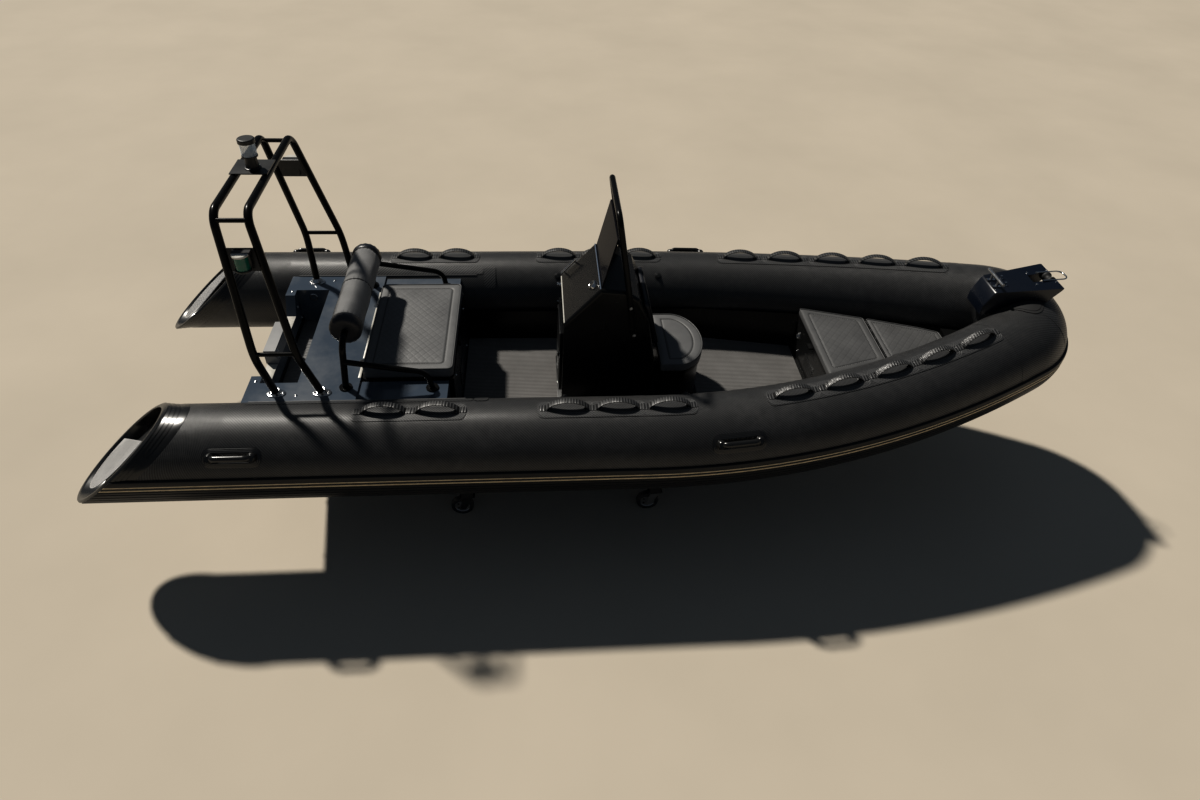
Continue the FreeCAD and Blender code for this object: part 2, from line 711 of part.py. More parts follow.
# Continuous hinge standing in the split between the two bow cushions
bow_hinge_z = bow_seat_top - hinge_radius + 1.0
leaf_low = bow_lid_top - 2.0
leaf_high = bow_hinge_z - hinge_radius - 1.0
leaf_half = locker_half(bow_seat_split) - 16.0
fixed_leaf = (bow_seat_split + hinge_leaf, bow_seat_split + 2 * hinge_leaf)
moving_leaf = (bow_seat_split - 2 * hinge_leaf, bow_seat_split - hinge_leaf)
locker = locker.fuse(box(*fixed_leaf, -leaf_half, leaf_half, leaf_low, leaf_high))
bow_lid = bow_lid.fuse(box(*moving_leaf, -leaf_half, leaf_half, leaf_low, leaf_high))
hinge_count = 5
hinge_pitch = 2 * leaf_half / hinge_count
knuckle = hinge_pitch / 3
for i in range(hinge_count):
    y = -leaf_half + hinge_pitch * (i + 0.5)
    fixed, moving = barrel_hinge((bow_seat_split, y, bow_hinge_z), (0, 1, 0), hinge_pitch - 2)
    tab = box(*fixed_leaf, y - knuckle / 2 + 1, y + knuckle / 2 - 1, leaf_high - 1, bow_hinge_z)
    locker = locker.fuse([fixed, tab])
    tabs = [box(*moving_leaf, y0, y0 + knuckle - 4, leaf_high - 1, bow_hinge_z)
            for y0 in (y - hinge_pitch / 2 + 2, y + knuckle / 2 + 2)]
    bore_start = V(bow_seat_split, y - hinge_pitch, bow_hinge_z)
    tab_bore = Part.makeCylinder(hinge_pin + hinge_fit, 2 * hinge_pitch, bore_start, V(0, 1, 0))
    bow_lid = bow_lid.fuse(moving + [tab.cut(tab_bore) for tab in tabs])
keep("bow_locker", locker)
keep("bow_locker_lid", bow_lid)
for name, x0, x1 in (("bow_cushion_aft", bow_seat_aft, bow_seat_split - locker_half_gap),
                     ("bow_cushion_fore", bow_seat_split + locker_half_gap, bow_seat_front)):
    pad = locker_part(x0, x1, 0, bow_lid_top, bow_seat_top)
    pad = rounded(pad, 10, lambda e: min(v.Z for v in e.Vertexes) > bow_seat_top - 0.1)
    keep(name, pad)

# Bow step over the nose with a roller slot, roller, bail and cleat
step_aft, step_front = 2018.0, 2390.0
step_aft_z, step_front_z = 1150.0, 1205.0
step_outline = [(step_aft, step_aft_z), (step_front, step_front_z), (step_front - 6, step_front_z - 16),
                (2292, 1052), (2018, 1010)]
step = block(step_outline, -152, 152)
step_plan = [(step_aft - 1, -152), (step_front + 1, -128), (step_front + 1, 128), (step_aft - 1, 152)]
taper = plate(step_plan, 900, 1300)
step = step.common(taper)
slot_half = 36.0
slot_aft = 2268.0
step = step.cut(box(slot_aft, step_front + 20, -slot_half, slot_half, 1128, 1300))
patch_thick = 4.0
patch_plan = [(1996, -40), (2040, -156), (2352, -140), (2352, 140), (2040, 156), (1996, 40)]
patch_region = plate(patch_plan, 980, 1300)
patch_outer = run_tube(bow_edge, tube_radius + patch_thick)
keep("bow_patch", largest(patch_outer.common(patch_region).cut(bow_solid)))
step = largest(step.cut(patch_outer))
roller_x, roller_z, roller_radius = 2372.0, 1184.0, 27.0
roller_half = slot_half - 5.0
roller = rod((roller_x, -roller_half, roller_z), (roller_x, roller_half, roller_z), roller_radius)
groove = Part.makeTorus(roller_radius + 8, 18, V(roller_x, 0, roller_z), V(0, 1, 0))
axle_radius = 6.0
roller = roller.cut(groove).cut(rod((roller_x, -60, roller_z), (roller_x, 60, roller_z), axle_radius + 1))
keep("bow_roller", roller)
axle = rod((roller_x, -slot_half - 14, roller_z), (roller_x, slot_half + 14, roller_z), axle_radius)
keep("bow_step", step.cut(axle))
bail_half = slot_half + 4.0
bail_points = [(roller_x - 60, -bail_half, step_front_z - 4), (roller_x + 82, -bail_half, step_front_z + 4),
               (roller_x + 82, bail_half, step_front_z + 4), (roller_x - 60, bail_half, step_front_z - 4)]
bail = bent_tube(bail_points, [30, 30], 4)
bail = bail.cut(made["bow_step"])

cleat_x, cleat_z = 2070.0, 1198.0
cleat_foot = step_aft_z + (cleat_x - step_aft) * (step_front_z - step_aft_z) / (step_front - step_aft)
cleat = rod((cleat_x, -84, cleat_z), (cleat_x, 84, cleat_z), 8)
for y in (-34, 34):
    cleat = cleat.fuse(rod((cleat_x, y, cleat_foot - 4), (cleat_x, y, cleat_z), 8))
    cleat = cleat.fuse(box(cleat_x - 22, cleat_x + 22, y - 9, y + 9, cleat_foot - 6, cleat_foot + 6))
cleat = cleat.cut(made["bow_step"])

# Webbing loops standing on the tubes, in rows along shared patches
loop_span, loop_rise, loop_wide, loop_thick = 208.0, 50.0, 28.0, 4.0
loop_groups = [
    # the loop stations of one patch
    (-1118.0, -870.0),
    (-262.0, -24.0, 226.0),
    (850.0, 1118.0, 1390.0, 1640.0, 1885.0),
]


def strap():
    points = [V(-loop_span / 2, 0, -2), V(-loop_span / 2 + 52, 0, loop_rise * 0.72), V(0, 0, loop_rise),
              V(loop_span / 2 - 52, 0, loop_rise * 0.72), V(loop_span / 2, 0, -2)]
    top = Part.BSplineCurve()
    top.interpolate(Points=points)
    low = Part.BSplineCurve()
    low.interpolate(Points=[V(p.x * 0.965, 0, p.z - loop_thick) for p in points])
    a, b = top.toShape(), low.toShape()
    ends = [Part.makeLine(a.Vertexes[i].Point, b.Vertexes[i].Point) for i in (0, 1)]
    face = Part.Face(Part.Wire(Part.__sortEdges__([a, b] + ends)))
    band = face.extrude(V(0, loop_wide, 0))
    band.translate(V(0, -loop_wide / 2, 0))
    return band


def heading_at(x):
    if x <= bend_start:
        return V(1, 0, 0)
    return side_heading(math.asin((x - bend_start) / side_arc_radius))


strap_shape = strap()
patch_half = 58.0
base_thick = 3.0


def top_of(x):
    heading = heading_at(x)
    flat = V(heading.x, heading.y, 0).normalize()
    up = heading.cross(V(flat.y, -flat.x, 0)).normalize()
    up = up if up.z > 0 else up * -1
    return V(x, -half_width(x), axis_height(x)) + up * tube_radius, heading, up


near_loops, near_pads = [], []
outer_aft = aft_tube(tube_radius + base_thick, stern_end - 400)
outer_side = run_tube(side_edge, tube_radius + base_thick)
for group in loop_groups:
    for x in group:
        point, heading, up = top_of(x)
        side = up.cross(heading)
        matrix = FreeCAD.Matrix(heading.x, side.x, up.x, point.x, heading.y, side.y, up.y, point.y,
                                heading.z, side.z, up.z, point.z, 0, 0, 0, 1)
        loop = strap_shape.copy()
        loop.Placement = FreeCAD.Placement(matrix)
        near_loops.append(loop)
    start, finish = group[0] - loop_span / 2 - 40, group[-1] + loop_span / 2 + 30
    stations = [start + (finish - start) * i / 8 for i in range(9)]
    line = [(x, -half_width(x)) for x in stations]
    strip = [(x, y - patch_half) for x, y in line] + [(x, y + patch_half) for x, y in reversed(line)]
    region = plate(strip, 820, 1400)
    runs = ((outer_aft, aft_solid, start < bend_start), (outer_side, side_solid, finish > bend_start))
    pieces = [outer.common(region).cut(tube) for outer, tube, reached in runs if reached]
    pads = [largest(piece) for piece in pieces]
    near_pads.append(pads[0].fuse(pads[1:]) if pads[1:] else pads[0])
cutters = [aft_solid, side_solid] + near_pads
near_loops = [largest(loop.cut(cutters)) for loop in near_loops]
keep("loop_pads", Part.makeCompound(near_pads + [mirrored(p) for p in near_pads]))
keep("loop_straps", Part.makeCompound(near_loops + [mirrored(p) for p in near_loops]))

# Moulded side handles on the outer face of the tubes
handle_angle = math.radians(35)
handle_half = 96.0
handle_plate_half, handle_plate_wide = 130.0, 96.0
handle_rows = [(-1773.0,), (533.0,)]
near_handles = []
for (x,) in handle_rows:
    heading = heading_at(x)
    flat = V(heading.x, heading.y, 0).normalize()
    outboard = V(flat.y, -flat.x, 0)
    normal = (outboard * math.cos(handle_angle) + V(0, 0, 1) * math.sin(handle_angle)).normalize()
    centre = V(x, -half_width(x), axis_height(x))
    across = normal.cross(heading).normalize()
    base = Part.makeBox(2 * handle_plate_half, handle_plate_wide, 60)
    base = rounded(base, 44, upright)
    matrix = FreeCAD.Matrix(heading.x, across.x, normal.x, 0, heading.y, across.y, normal.y, 0,
                            heading.z, across.z, normal.z, 0, 0, 0, 0, 1)
    base.translate(V(-handle_plate_half, -handle_plate_wide / 2, tube_radius - 40))
    grip_low, grip_high = tube_radius - 6, tube_radius + 38
    grip = bent_tube([(-handle_half, 0, grip_low), (-handle_half + 16, 0, grip_high),
                      (handle_half - 16, 0, grip_high), (handle_half, 0, grip_low)], [24, 24], 12)
    place = FreeCAD.Placement(centre, FreeCAD.Placement(matrix).Rotation)
    base.Placement = place.multiply(base.Placement)
    grip.Placement = place.multiply(grip.Placement)
    plate_radius = tube_radius + 8
    shell = run_tube(side_edge, plate_radius) if x > bend_start else aft_tube(plate_radius, stern_end - 400)
    handle = base.common(shell).fuse(grip)
    handle = handle.cut([aft_solid, side_solid])
    near_handles.append(largest(handle))
keep("side_handles", Part.makeCompound(near_handles + [mirrored(h) for h in near_handles]))

# Air valves high on the inner face of the tubes
valve_angle = math.radians(50)
valves = []
for x in (-270.0, 338.0):
    centre = V(x, -half_width(x), axis_height(x))
    inward = V(0, math.cos(valve_angle), math.sin(valve_angle))
    valve = Part.makeCylinder(21, 10, centre + inward * (tube_radius - 5), inward)
    valve = valve.fuse(Part.makeCylinder(12, 16, centre + inward * (tube_radius - 5), inward))
    valves.append(valve.cut([aft_solid, side_solid]))
keep("air_valves", Part.makeCompound(valves + [mirrored(v) for v in valves]))

# Towing eyes: one under the bow and two on the transom
eye_radius = 7.0


def eye(points):
    return bent_tube(points, [22, 22], eye_radius)


fittings = [axle, bail, cleat] + stern_hinges
for y in (-372.0, 372.0):
    ring = eye([(transom_aft + 30, y, 560), (transom_aft - 42, y, 560),
                (transom_aft - 42, y, 634), (transom_aft + 30, y, 634)])
    fittings.append(ring.cut(made["hull"]))
stem_low, stem_high = V(1930, 0, 585), V(2008, 0, 628)
stem_out = V(stem_high.z - stem_low.z, 0, stem_low.x - stem_high.x).normalize()
ring_points = [stem_low - stem_out * 40, stem_low + stem_out * 44,
               stem_high + stem_out * 44, stem_high - stem_out * 40]
ring = eye([tuple(p) for p in ring_points])
fittings.append(ring.cut(made["hull"]).Solids[0])
keep("deck_fittings", Part.makeCompound(fittings))

# Low yard cradle: rails, cross beams, posts and bunks cut to the vee bottom
rail_side = 352.0
beam_low, beam_high = 156.0, 200.0
rail_low, rail_high = 200.0, 236.0
cradle = []
for x in (wheel_aft, wheel_fore):
    cradle.append(box(x - 30, x + 30, -wheel_side - 45, wheel_side + 45, beam_low, beam_high))
for y in (-rail_side, rail_side):
    cradle.append(box(wheel_aft - 190, wheel_fore + 190, y - 25, y + 25, rail_low, rail_high))
    for x in (wheel_aft - 120, (wheel_aft + wheel_fore) / 2, wheel_fore + 120):
        cradle.append(box(x - 22, x + 22, y - 22, y + 22, rail_high, 352))
for x in (wheel_aft, wheel_fore):
    cradle.append(box(x - 30, x + 30, -26, 26, beam_high, 262))
bunk_low = 352.0
bunks = []
for y in (-rail_side, rail_side):
    bunks.append(box(wheel_aft - 200, wheel_fore + 200, y - 48, y + 48, bunk_low, 460).cut(made["hull"]))
for x in (wheel_aft, wheel_fore):
    bunks.append(box(x - 60, x + 60, -48, 48, 262, 330).cut(made["hull"]))
bunks = [sorted(b.Solids, key=lambda s: s.CenterOfMass.z)[0] for b in bunks]
keep("cradle_bunks", Part.makeCompound(bunks))

# Casters under the beam ends: the fore pair swivels, the aft pair is fixed
trail = 34.0
fork_gap = 5.0
swivel_gap = 0.3
fork_thick = 5.0
crown_z = beam_low - 22
caster_rows = [
    # name, x, y, swivels
    ("aft_starboard", wheel_aft, -wheel_side, False),
    ("aft_port", wheel_aft, wheel_side, False),
    ("fore_starboard", wheel_fore, -wheel_side, True),
    ("fore_port", wheel_fore, wheel_side, True),
]
for name, x, y, swivels in caster_rows:
    half = wheel_width / 2 + fork_gap
    wx = x - trail
    mount_plate = box(x - 40, x + 40, y - 36, y + 36, beam_low - 6, beam_low)
    fork = box(x - 26, x + 22, y - half - fork_thick, y + half + fork_thick, crown_z - 5, crown_z)
    for side in (-1, 1):
        y0, y1 = sorted((y + side * half, y + side * (half + fork_thick)))
        leg_low = wheel_radius - 12
        leg = [(x - 26, crown_z), (x + 22, crown_z), (wx + 16, leg_low), (wx - 14, leg_low)]
        fork = fork.fuse(block(leg, y0, y1))
    axle_half = half + fork_thick + 4
    fork = fork.fuse(rod((wx, y - axle_half, wheel_radius), (wx, y + axle_half, wheel_radius), 5))
    if swivels:
        fork = fork.fuse(rod((x, y, crown_z - 5), (x, y, crown_z), 30))
        keep("caster_fork_" + name, fork)
        cradle.append(mount_plate.fuse(rod((x, y, crown_z + swivel_gap), (x, y, beam_low - 6), 22)))
    else:
        cradle.append(mount_plate.fuse([fork, rod((x, y, crown_z - 5), (x, y, beam_low - 6), 22)]))
    tread_half = wheel_width / 2
    wheel = rod((wx, y - tread_half, wheel_radius), (wx, y + tread_half, wheel_radius), wheel_radius)
    wheel = rounded(wheel, 7, lambda e: len(e.Vertexes) == 1)
    axle_bore = rod((wx, y - 60, wheel_radius), (wx, y + 60, wheel_radius), 5.5)
    keep("caster_wheel_" + name, wheel.cut(axle_bore))
keep("cradle_frame", cradle[0].fuse(cradle[1:]))

# The origin lies on the floor, half way between the cones' tips and the bow strake
stern_tip = stern_end - cut_slope * tube_radius
bow_tip = bow_centre_x + bow_radius + tube_radius + strake_thick
for name, shape in made.items():
    shape.translate(V(-(stern_tip + bow_tip) / 2, 0, 0))
    shape.exportStep("parts/" + name + ".step")
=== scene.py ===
import json
import math

import bmesh
import bpy
from mathutils import Matrix, Vector
from mathutils.bvhtree import BVHTree
from mathutils.kdtree import KDTree

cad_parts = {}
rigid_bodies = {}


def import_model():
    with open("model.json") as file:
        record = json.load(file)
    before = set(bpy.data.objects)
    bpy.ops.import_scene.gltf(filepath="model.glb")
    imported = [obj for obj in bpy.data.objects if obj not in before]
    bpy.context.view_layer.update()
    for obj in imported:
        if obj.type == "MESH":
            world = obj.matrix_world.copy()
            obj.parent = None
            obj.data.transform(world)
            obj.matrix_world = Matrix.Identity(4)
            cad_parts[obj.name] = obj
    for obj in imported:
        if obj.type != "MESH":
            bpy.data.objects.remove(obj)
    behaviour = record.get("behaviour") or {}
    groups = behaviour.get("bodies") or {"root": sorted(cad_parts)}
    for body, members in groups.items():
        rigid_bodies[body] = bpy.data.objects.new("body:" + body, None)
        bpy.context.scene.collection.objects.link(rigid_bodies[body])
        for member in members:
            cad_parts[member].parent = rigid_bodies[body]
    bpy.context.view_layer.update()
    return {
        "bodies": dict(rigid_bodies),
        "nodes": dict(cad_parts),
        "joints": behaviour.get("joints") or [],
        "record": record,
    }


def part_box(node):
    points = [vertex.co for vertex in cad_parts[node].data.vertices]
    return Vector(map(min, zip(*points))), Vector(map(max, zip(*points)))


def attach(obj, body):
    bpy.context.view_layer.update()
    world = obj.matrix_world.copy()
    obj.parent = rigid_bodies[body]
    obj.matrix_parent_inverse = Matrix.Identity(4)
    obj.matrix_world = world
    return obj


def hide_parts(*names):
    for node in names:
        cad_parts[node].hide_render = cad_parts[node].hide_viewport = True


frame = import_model()
print("frame loaded:", len(frame["nodes"]), "nodes")

# stations are read from the boat's own datum, which lies a little ahead of the frame's origin
transomStation = -1.812
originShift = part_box("transom_board")[0].x - transomStation
upright = Vector((0, 0, 1))


def spot(x, y, z):
    return Vector((x + originShift, y, z))


# shader maths written as plain sums: one wrapped output socket
class Wire:
    def __init__(self, finish, socket):
        self.finish, self.socket = finish, socket

    def maths(self, operation, a, b=0.0):
        return self.finish.add("ShaderNodeMath", {"operation": operation}, {0: a, 1: b})

    def __add__(self, other):
        return self.maths("ADD", self, other)

    def __radd__(self, other):
        return self.maths("ADD", other, self)

    def __sub__(self, other):
        return self.maths("SUBTRACT", self, other)

    def __rsub__(self, other):
        return self.maths("SUBTRACT", other, self)

    def __mul__(self, other):
        return self.maths("MULTIPLY", self, other)

    def __rmul__(self, other):
        return self.maths("MULTIPLY", other, self)

    def __truediv__(self, other):
        return self.maths("DIVIDE", self, other)

    def __mod__(self, other):
        return self.maths("FLOORED_MODULO", self, other)

    def __lt__(self, other):
        return self.maths("LESS_THAN", self, other)

    def __gt__(self, other):
        return self.maths("GREATER_THAN", self, other)

    def floor(self):
        return self.maths("FLOOR", self)

    def sine(self):
        return self.maths("SINE", self)

    def size(self):
        return self.maths("ABSOLUTE", self)

    def root(self):
        return self.maths("SQRT", self)

    def least(self, other):
        return self.maths("MINIMUM", self, other)

    def most(self, other):
        return self.maths("MAXIMUM", self, other)


class Finish:
    def __init__(self, name, **fixed):
        self.material = bpy.data.materials.new(name)
        self.material.use_nodes = True
        self.nodes = self.material.node_tree.nodes
        self.links = self.material.node_tree.links
        self.skin = self.nodes["Principled BSDF"]
        for key, value in fixed.items():
            self.skin.inputs[key.replace("_", " ")].default_value = value

    def add(self, kind, settings=None, sockets=None, out=0):
        node = self.nodes.new(kind)
        for key, value in (settings or {}).items():
            setattr(node, key, value)
        for key, value in (sockets or {}).items():
            self.feed(node.inputs[key], value)
        return Wire(self, node.outputs[out])

    def feed(self, socket, value):
        if isinstance(value, Wire):
            self.links.new(value.socket, socket)
        else:
            socket.default_value = value

    def place(self):
        return self.add("ShaderNodeTexCoord", out=3)

    def parts(self, vector):
        return [self.add("ShaderNodeSeparateXYZ", {}, {0: vector}, out=axis) for axis in range(3)]

    def cloth(self):
        # distance along the piece and across it, in metres
        return self.parts(self.add("ShaderNodeUVMap", {"uv_map": "cloth"}))[:2]

    def noise(self, scale, detail=3.0, rough=0.55):
        sockets = {"Scale": scale, "Detail": detail, "Roughness": rough, "Vector": self.place()}
        return self.add("ShaderNodeTexNoise", {}, sockets)

    def cells(self, feature, scale):
        sockets = {"Scale": scale, "Vector": self.place()}
        return self.add("ShaderNodeTexVoronoi", {"feature": feature}, sockets)

    def blendOf(self, factor, a, b):
        return self.add("ShaderNodeMix", {"data_type": "RGBA"}, {0: factor, 6: a, 7: b}, out=2)

    def span(self, value, low, high, outLow, outHigh):
        sockets = {"Value": value, "From Min": low, "From Max": high, "To Min": outLow, "To Max": outHigh}
        return self.add("ShaderNodeMapRange", {}, sockets)

    def ribs(self, along, pitch, inner, outer, outLow=1.0, outHigh=0.0):
        # lines at every pitch, by the distance from the middle of each step
        return self.span((((along / pitch) % 1.0) - 0.5).size(), inner, outer, outLow, outHigh)

    def colour(self, value):
        self.feed(self.skin.inputs["Base Color"], value)
        return self

    def rough(self, value):
        self.feed(self.skin.inputs["Roughness"], value)
        return self

    def wear(self, cloud, mixed, shades, dulled):
        # one cloud blends two shades and sets the roughness
        self.colour(self.blendOf(self.span(cloud, *mixed), *shades))
        return self.rough(self.span(cloud, *dulled))

    def bump(self, height, distance, strength=1.0):
        sockets = {"Height": height, "Distance": distance, "Strength": strength}
        self.feed(self.skin.inputs["Normal"], self.add("ShaderNodeBump", {}, sockets))
        return self


def grey(level, warmth=0.0):
    return (level * (1 + warmth), level, level * (1 - warmth), 1.0)


def tinted(level, tint):
    return tuple(level * part for part in tint[:3]) + (1.0,)


# finishes that cover more than one piece
def twillFabric(name):
    # coated cloth with a woven look: threads pass two over, two under
    weave = {"thread": 0.0034, "lift": 0.00035, "dark": grey(0.012), "light": grey(0.078),
             "dust": grey(0.200, 0.03)}
    finish = Finish(name, Specular_IOR_Level=0.38)
    u, v = (part / weave["thread"] for part in finish.cloth())
    over = ((u.floor() + v.floor()) % 4.0) < 1.5
    across, along = (((part % 1.0) * math.pi).sine() for part in (u, v))
    height = over * across + (1.0 - over) * along * 0.8
    worn = finish.noise(2.2, 4.0, 0.6)
    scuff = finish.noise(23.0, 5.0, 0.7)
    base = finish.blendOf(over * 0.52 + height * 0.15, weave["dark"], weave["light"])
    finish.colour(finish.blendOf(finish.span(worn * scuff, 0.22, 0.5, 0.0, 0.16), base, weave["dust"]))
    finish.rough(finish.span(over * 0.7 + worn, 0.2, 1.5, 0.46, 0.28))
    return finish.bump(height, weave["lift"], 0.7)


def hatchedRubber(name, ringShare, pitch):
    # hatched patch, with raised lines round the foot of each loop where ringShare is 1
    line = {"half": 0.098, "wide": 0.014, "round": 0.022, "pitch": 0.0085, "near": -0.006, "far": 0.016}
    finish = Finish(name, Specular_IOR_Level=0.5)
    u, v = finish.cloth()
    across = (u.size() - line["half"]).most(0.0)
    aside = (v.size() - line["wide"]).most(0.0)
    gap = (across * across + aside * aside).root() - line["round"]
    raised = finish.ribs(gap, line["pitch"], 0.10, 0.20)
    ringed = raised * (gap > line["near"]) * (gap < line["far"]) * ringShare
    hatch = (((u + v) / pitch) % 1.0) < 0.5
    finish.colour(finish.blendOf((hatch * 0.7 + ringed).least(1.0), grey(0.007), grey(0.095)))
    finish.rough(finish.span(finish.noise(5.0, 4.0, 0.6), 0.3, 0.7, 0.36, 0.50))
    return finish.bump(hatch * 0.35 * (gap > line["far"]) + ringed, 0.0007, 0.8)


def mouldedGloss(name, level, roughness=0.20, tint=(1.0, 1.0, 1.0), dust=0.02):
    # gelcoat or hard moulding with faint dust and swirl marks; where the dust share is large, as on the deck,
    # the lighter cloud is painted sky reflection as well as dust
    finish = Finish(name, Specular_IOR_Level=0.5)
    dustAndSheen = (level + dust, level + dust * 0.98, level + dust * 0.94, 1.0)
    finish.wear(finish.noise(3.1, 5.0, 0.62), (0.42, 0.85, 0.0, 0.30), (tinted(level, tint), dustAndSheen),
                (0.3, 0.75, roughness, roughness + 0.14))
    return finish.bump(finish.noise(240.0, 2.0, 0.5), 0.0002, 0.12)


def satinPlastic(name, level, roughness, grain, shine=0.45):
    finish = Finish(name, Specular_IOR_Level=shine)
    finish.wear(finish.noise(4.0, 4.0, 0.6), (0.4, 0.8, 0.0, 0.35),
                (grey(level), grey(level * 1.8 + 0.004, 0.02)),
                (0.3, 0.8, roughness - 0.06, roughness + 0.10))
    return finish.bump(finish.cells("SMOOTH_F1", grain), 0.0003, 0.35)


def metal(name, level, roughness, brushed=0.0):
    finish = Finish(name, Metallic=1.0)
    finish.wear(finish.noise(30.0, 4.0, 0.6), (0.35, 0.75, 0.0, 0.5), (grey(level), grey(level * 0.72)),
                (0.3, 0.8, roughness, roughness + 0.12))
    return finish.bump(finish.noise(700.0, 2.0, 0.5), 0.0001, 0.1 + brushed)


def paintedTube(name, level, roughness):
    finish = Finish(name, Specular_IOR_Level=0.12)
    finish.wear(finish.noise(6.0, 4.0, 0.6), (0.45, 0.8, 0.0, 0.3), (grey(level), grey(level * 2.0 + 0.002)),
                (0.3, 0.8, roughness, roughness + 0.12))
    return finish.bump(finish.noise(420.0, 2.0, 0.5), 0.0002, 0.2)


def plainFinish(name, shade, roughness):
    # thread, piping, gilt and painted highlight strips: one shade with a little wear
    finish = Finish(name)
    finish.wear(finish.noise(35.0, 3.0, 0.6), (0.4, 0.7, 0.0, 0.8), (shade, tinted(0.7, shade)),
                (0.3, 0.7, roughness - 0.05, roughness + 0.1))
    return finish.bump(finish.noise(900.0, 2.0), 0.0001, 0.25)


def vinyl(name, level, roughness=0.5, tint=(1.0, 1.0, 1.0)):
    # upholstery vinyl: fine leather grain, with painted shade along the sewn-down seams and quilt lines
    finish = Finish(name, Specular_IOR_Level=0.4)
    crease = finish.span(finish.cells("DISTANCE_TO_EDGE", 620.0), 0.0, 0.12, 0.0, 1.0)
    cloud = finish.noise(7.0, 4.0, 0.6)
    seamShade = finish.add("ShaderNodeAttribute", {"attribute_name": "seamShade"}, out=2)
    body = finish.blendOf(finish.span(cloud, 0.3, 0.7, 0.1, 0.9) * 0.7 + crease * 0.3,
                          tinted(level * 0.80, tint), tinted(level * 1.14, tint))
    # painted shade: seams and quilt lines are darkened by their depth
    finish.colour(finish.blendOf(seamShade * 0.75, body, grey(level * 0.22)))
    finish.rough(finish.span(cloud, 0.3, 0.7, roughness - 0.05, roughness + 0.08))
    return finish.bump(crease, 0.00018, 0.35)


def rollFabric(name):
    # plain weave of a sewn cover
    weave = {"warp": 0.0011, "weft": 0.0013, "dark": grey(0.135), "light": grey(0.235, 0.01)}
    finish = Finish(name, Specular_IOR_Level=0.3, Sheen_Weight=0.15, Sheen_Roughness=0.5)
    x, y, z = finish.parts(finish.place())
    woven = ((y / weave["warp"]) * math.tau).sine() * (((x + z) / weave["weft"]) * math.tau).sine()
    cloud = finish.noise(9.0, 4.0, 0.6)
    mixed = finish.span(cloud, 0.3, 0.7, 0.0, 0.7) + woven * 0.15
    finish.colour(finish.blendOf(mixed, weave["dark"], weave["light"]))
    finish.rough(finish.span(cloud, 0.3, 0.7, 0.62, 0.78))
    return finish.bump(woven, 0.0002, 0.4)


def ribbedFoam(name):
    # a grooved foam mat: fine ribs along the boat, with painted shade in the grooves
    mat = {"pitch": 0.0125, "line": 0.24, "groove": grey(0.055, 0.03), "dark": grey(0.11, 0.04),
           "light": grey(0.21, 0.03)}
    finish = Finish(name, Specular_IOR_Level=0.25)
    y = finish.parts(finish.place())[1]
    groove = finish.ribs(y, mat["pitch"], 0.5 - mat["line"], 0.5 - mat["line"] * 0.6, 0.0, 1.0)
    cloud = finish.noise(5.0, 5.0, 0.65)
    speck = finish.span(finish.noise(520.0, 2.0, 0.5), 0.4, 0.6, 0.0, 0.2)
    body = finish.blendOf(finish.span(cloud, 0.3, 0.7, 0.2, 0.9) * 0.8 + speck, mat["dark"], mat["light"])
    # painted shade: the grooves are darkened towards the groove shade
    finish.colour(finish.blendOf(groove * 0.8, body, mat["groove"]))
    finish.rough(finish.span(cloud, 0.3, 0.7, 0.7, 0.85))
    return finish.bump(1.0 - groove, 0.0012, 0.7)


def webbingStrap(name):
    # strap with raised ribs across it, painted lighter on the ribs and darker between them as painted
    # highlight and shade
    finish = Finish(name, Specular_IOR_Level=0.45)
    rib = finish.ribs(finish.parts(finish.place())[0], 0.0135, 0.12, 0.30)
    # painted highlight on the rib crests and painted shade in the gaps
    finish.colour(finish.blendOf(rib * 0.85, grey(0.012), grey(0.090)))
    finish.rough(finish.span(finish.noise(8.0, 4.0, 0.6), 0.3, 0.7, 0.30, 0.42))
    return finish.bump(rib, 0.0009, 0.8)


def lens(name, tint, alpha, roughness=0.10, hazy=0.12, shine=0.5):
    finish = Finish(name, Specular_IOR_Level=shine, Alpha=alpha)
    return finish.wear(finish.noise(60.0, 3.0, 0.5), (0.4, 0.7, 0.0, 0.25), (tint, grey(hazy)),
                       (0.3, 0.7, roughness, roughness + 0.08))


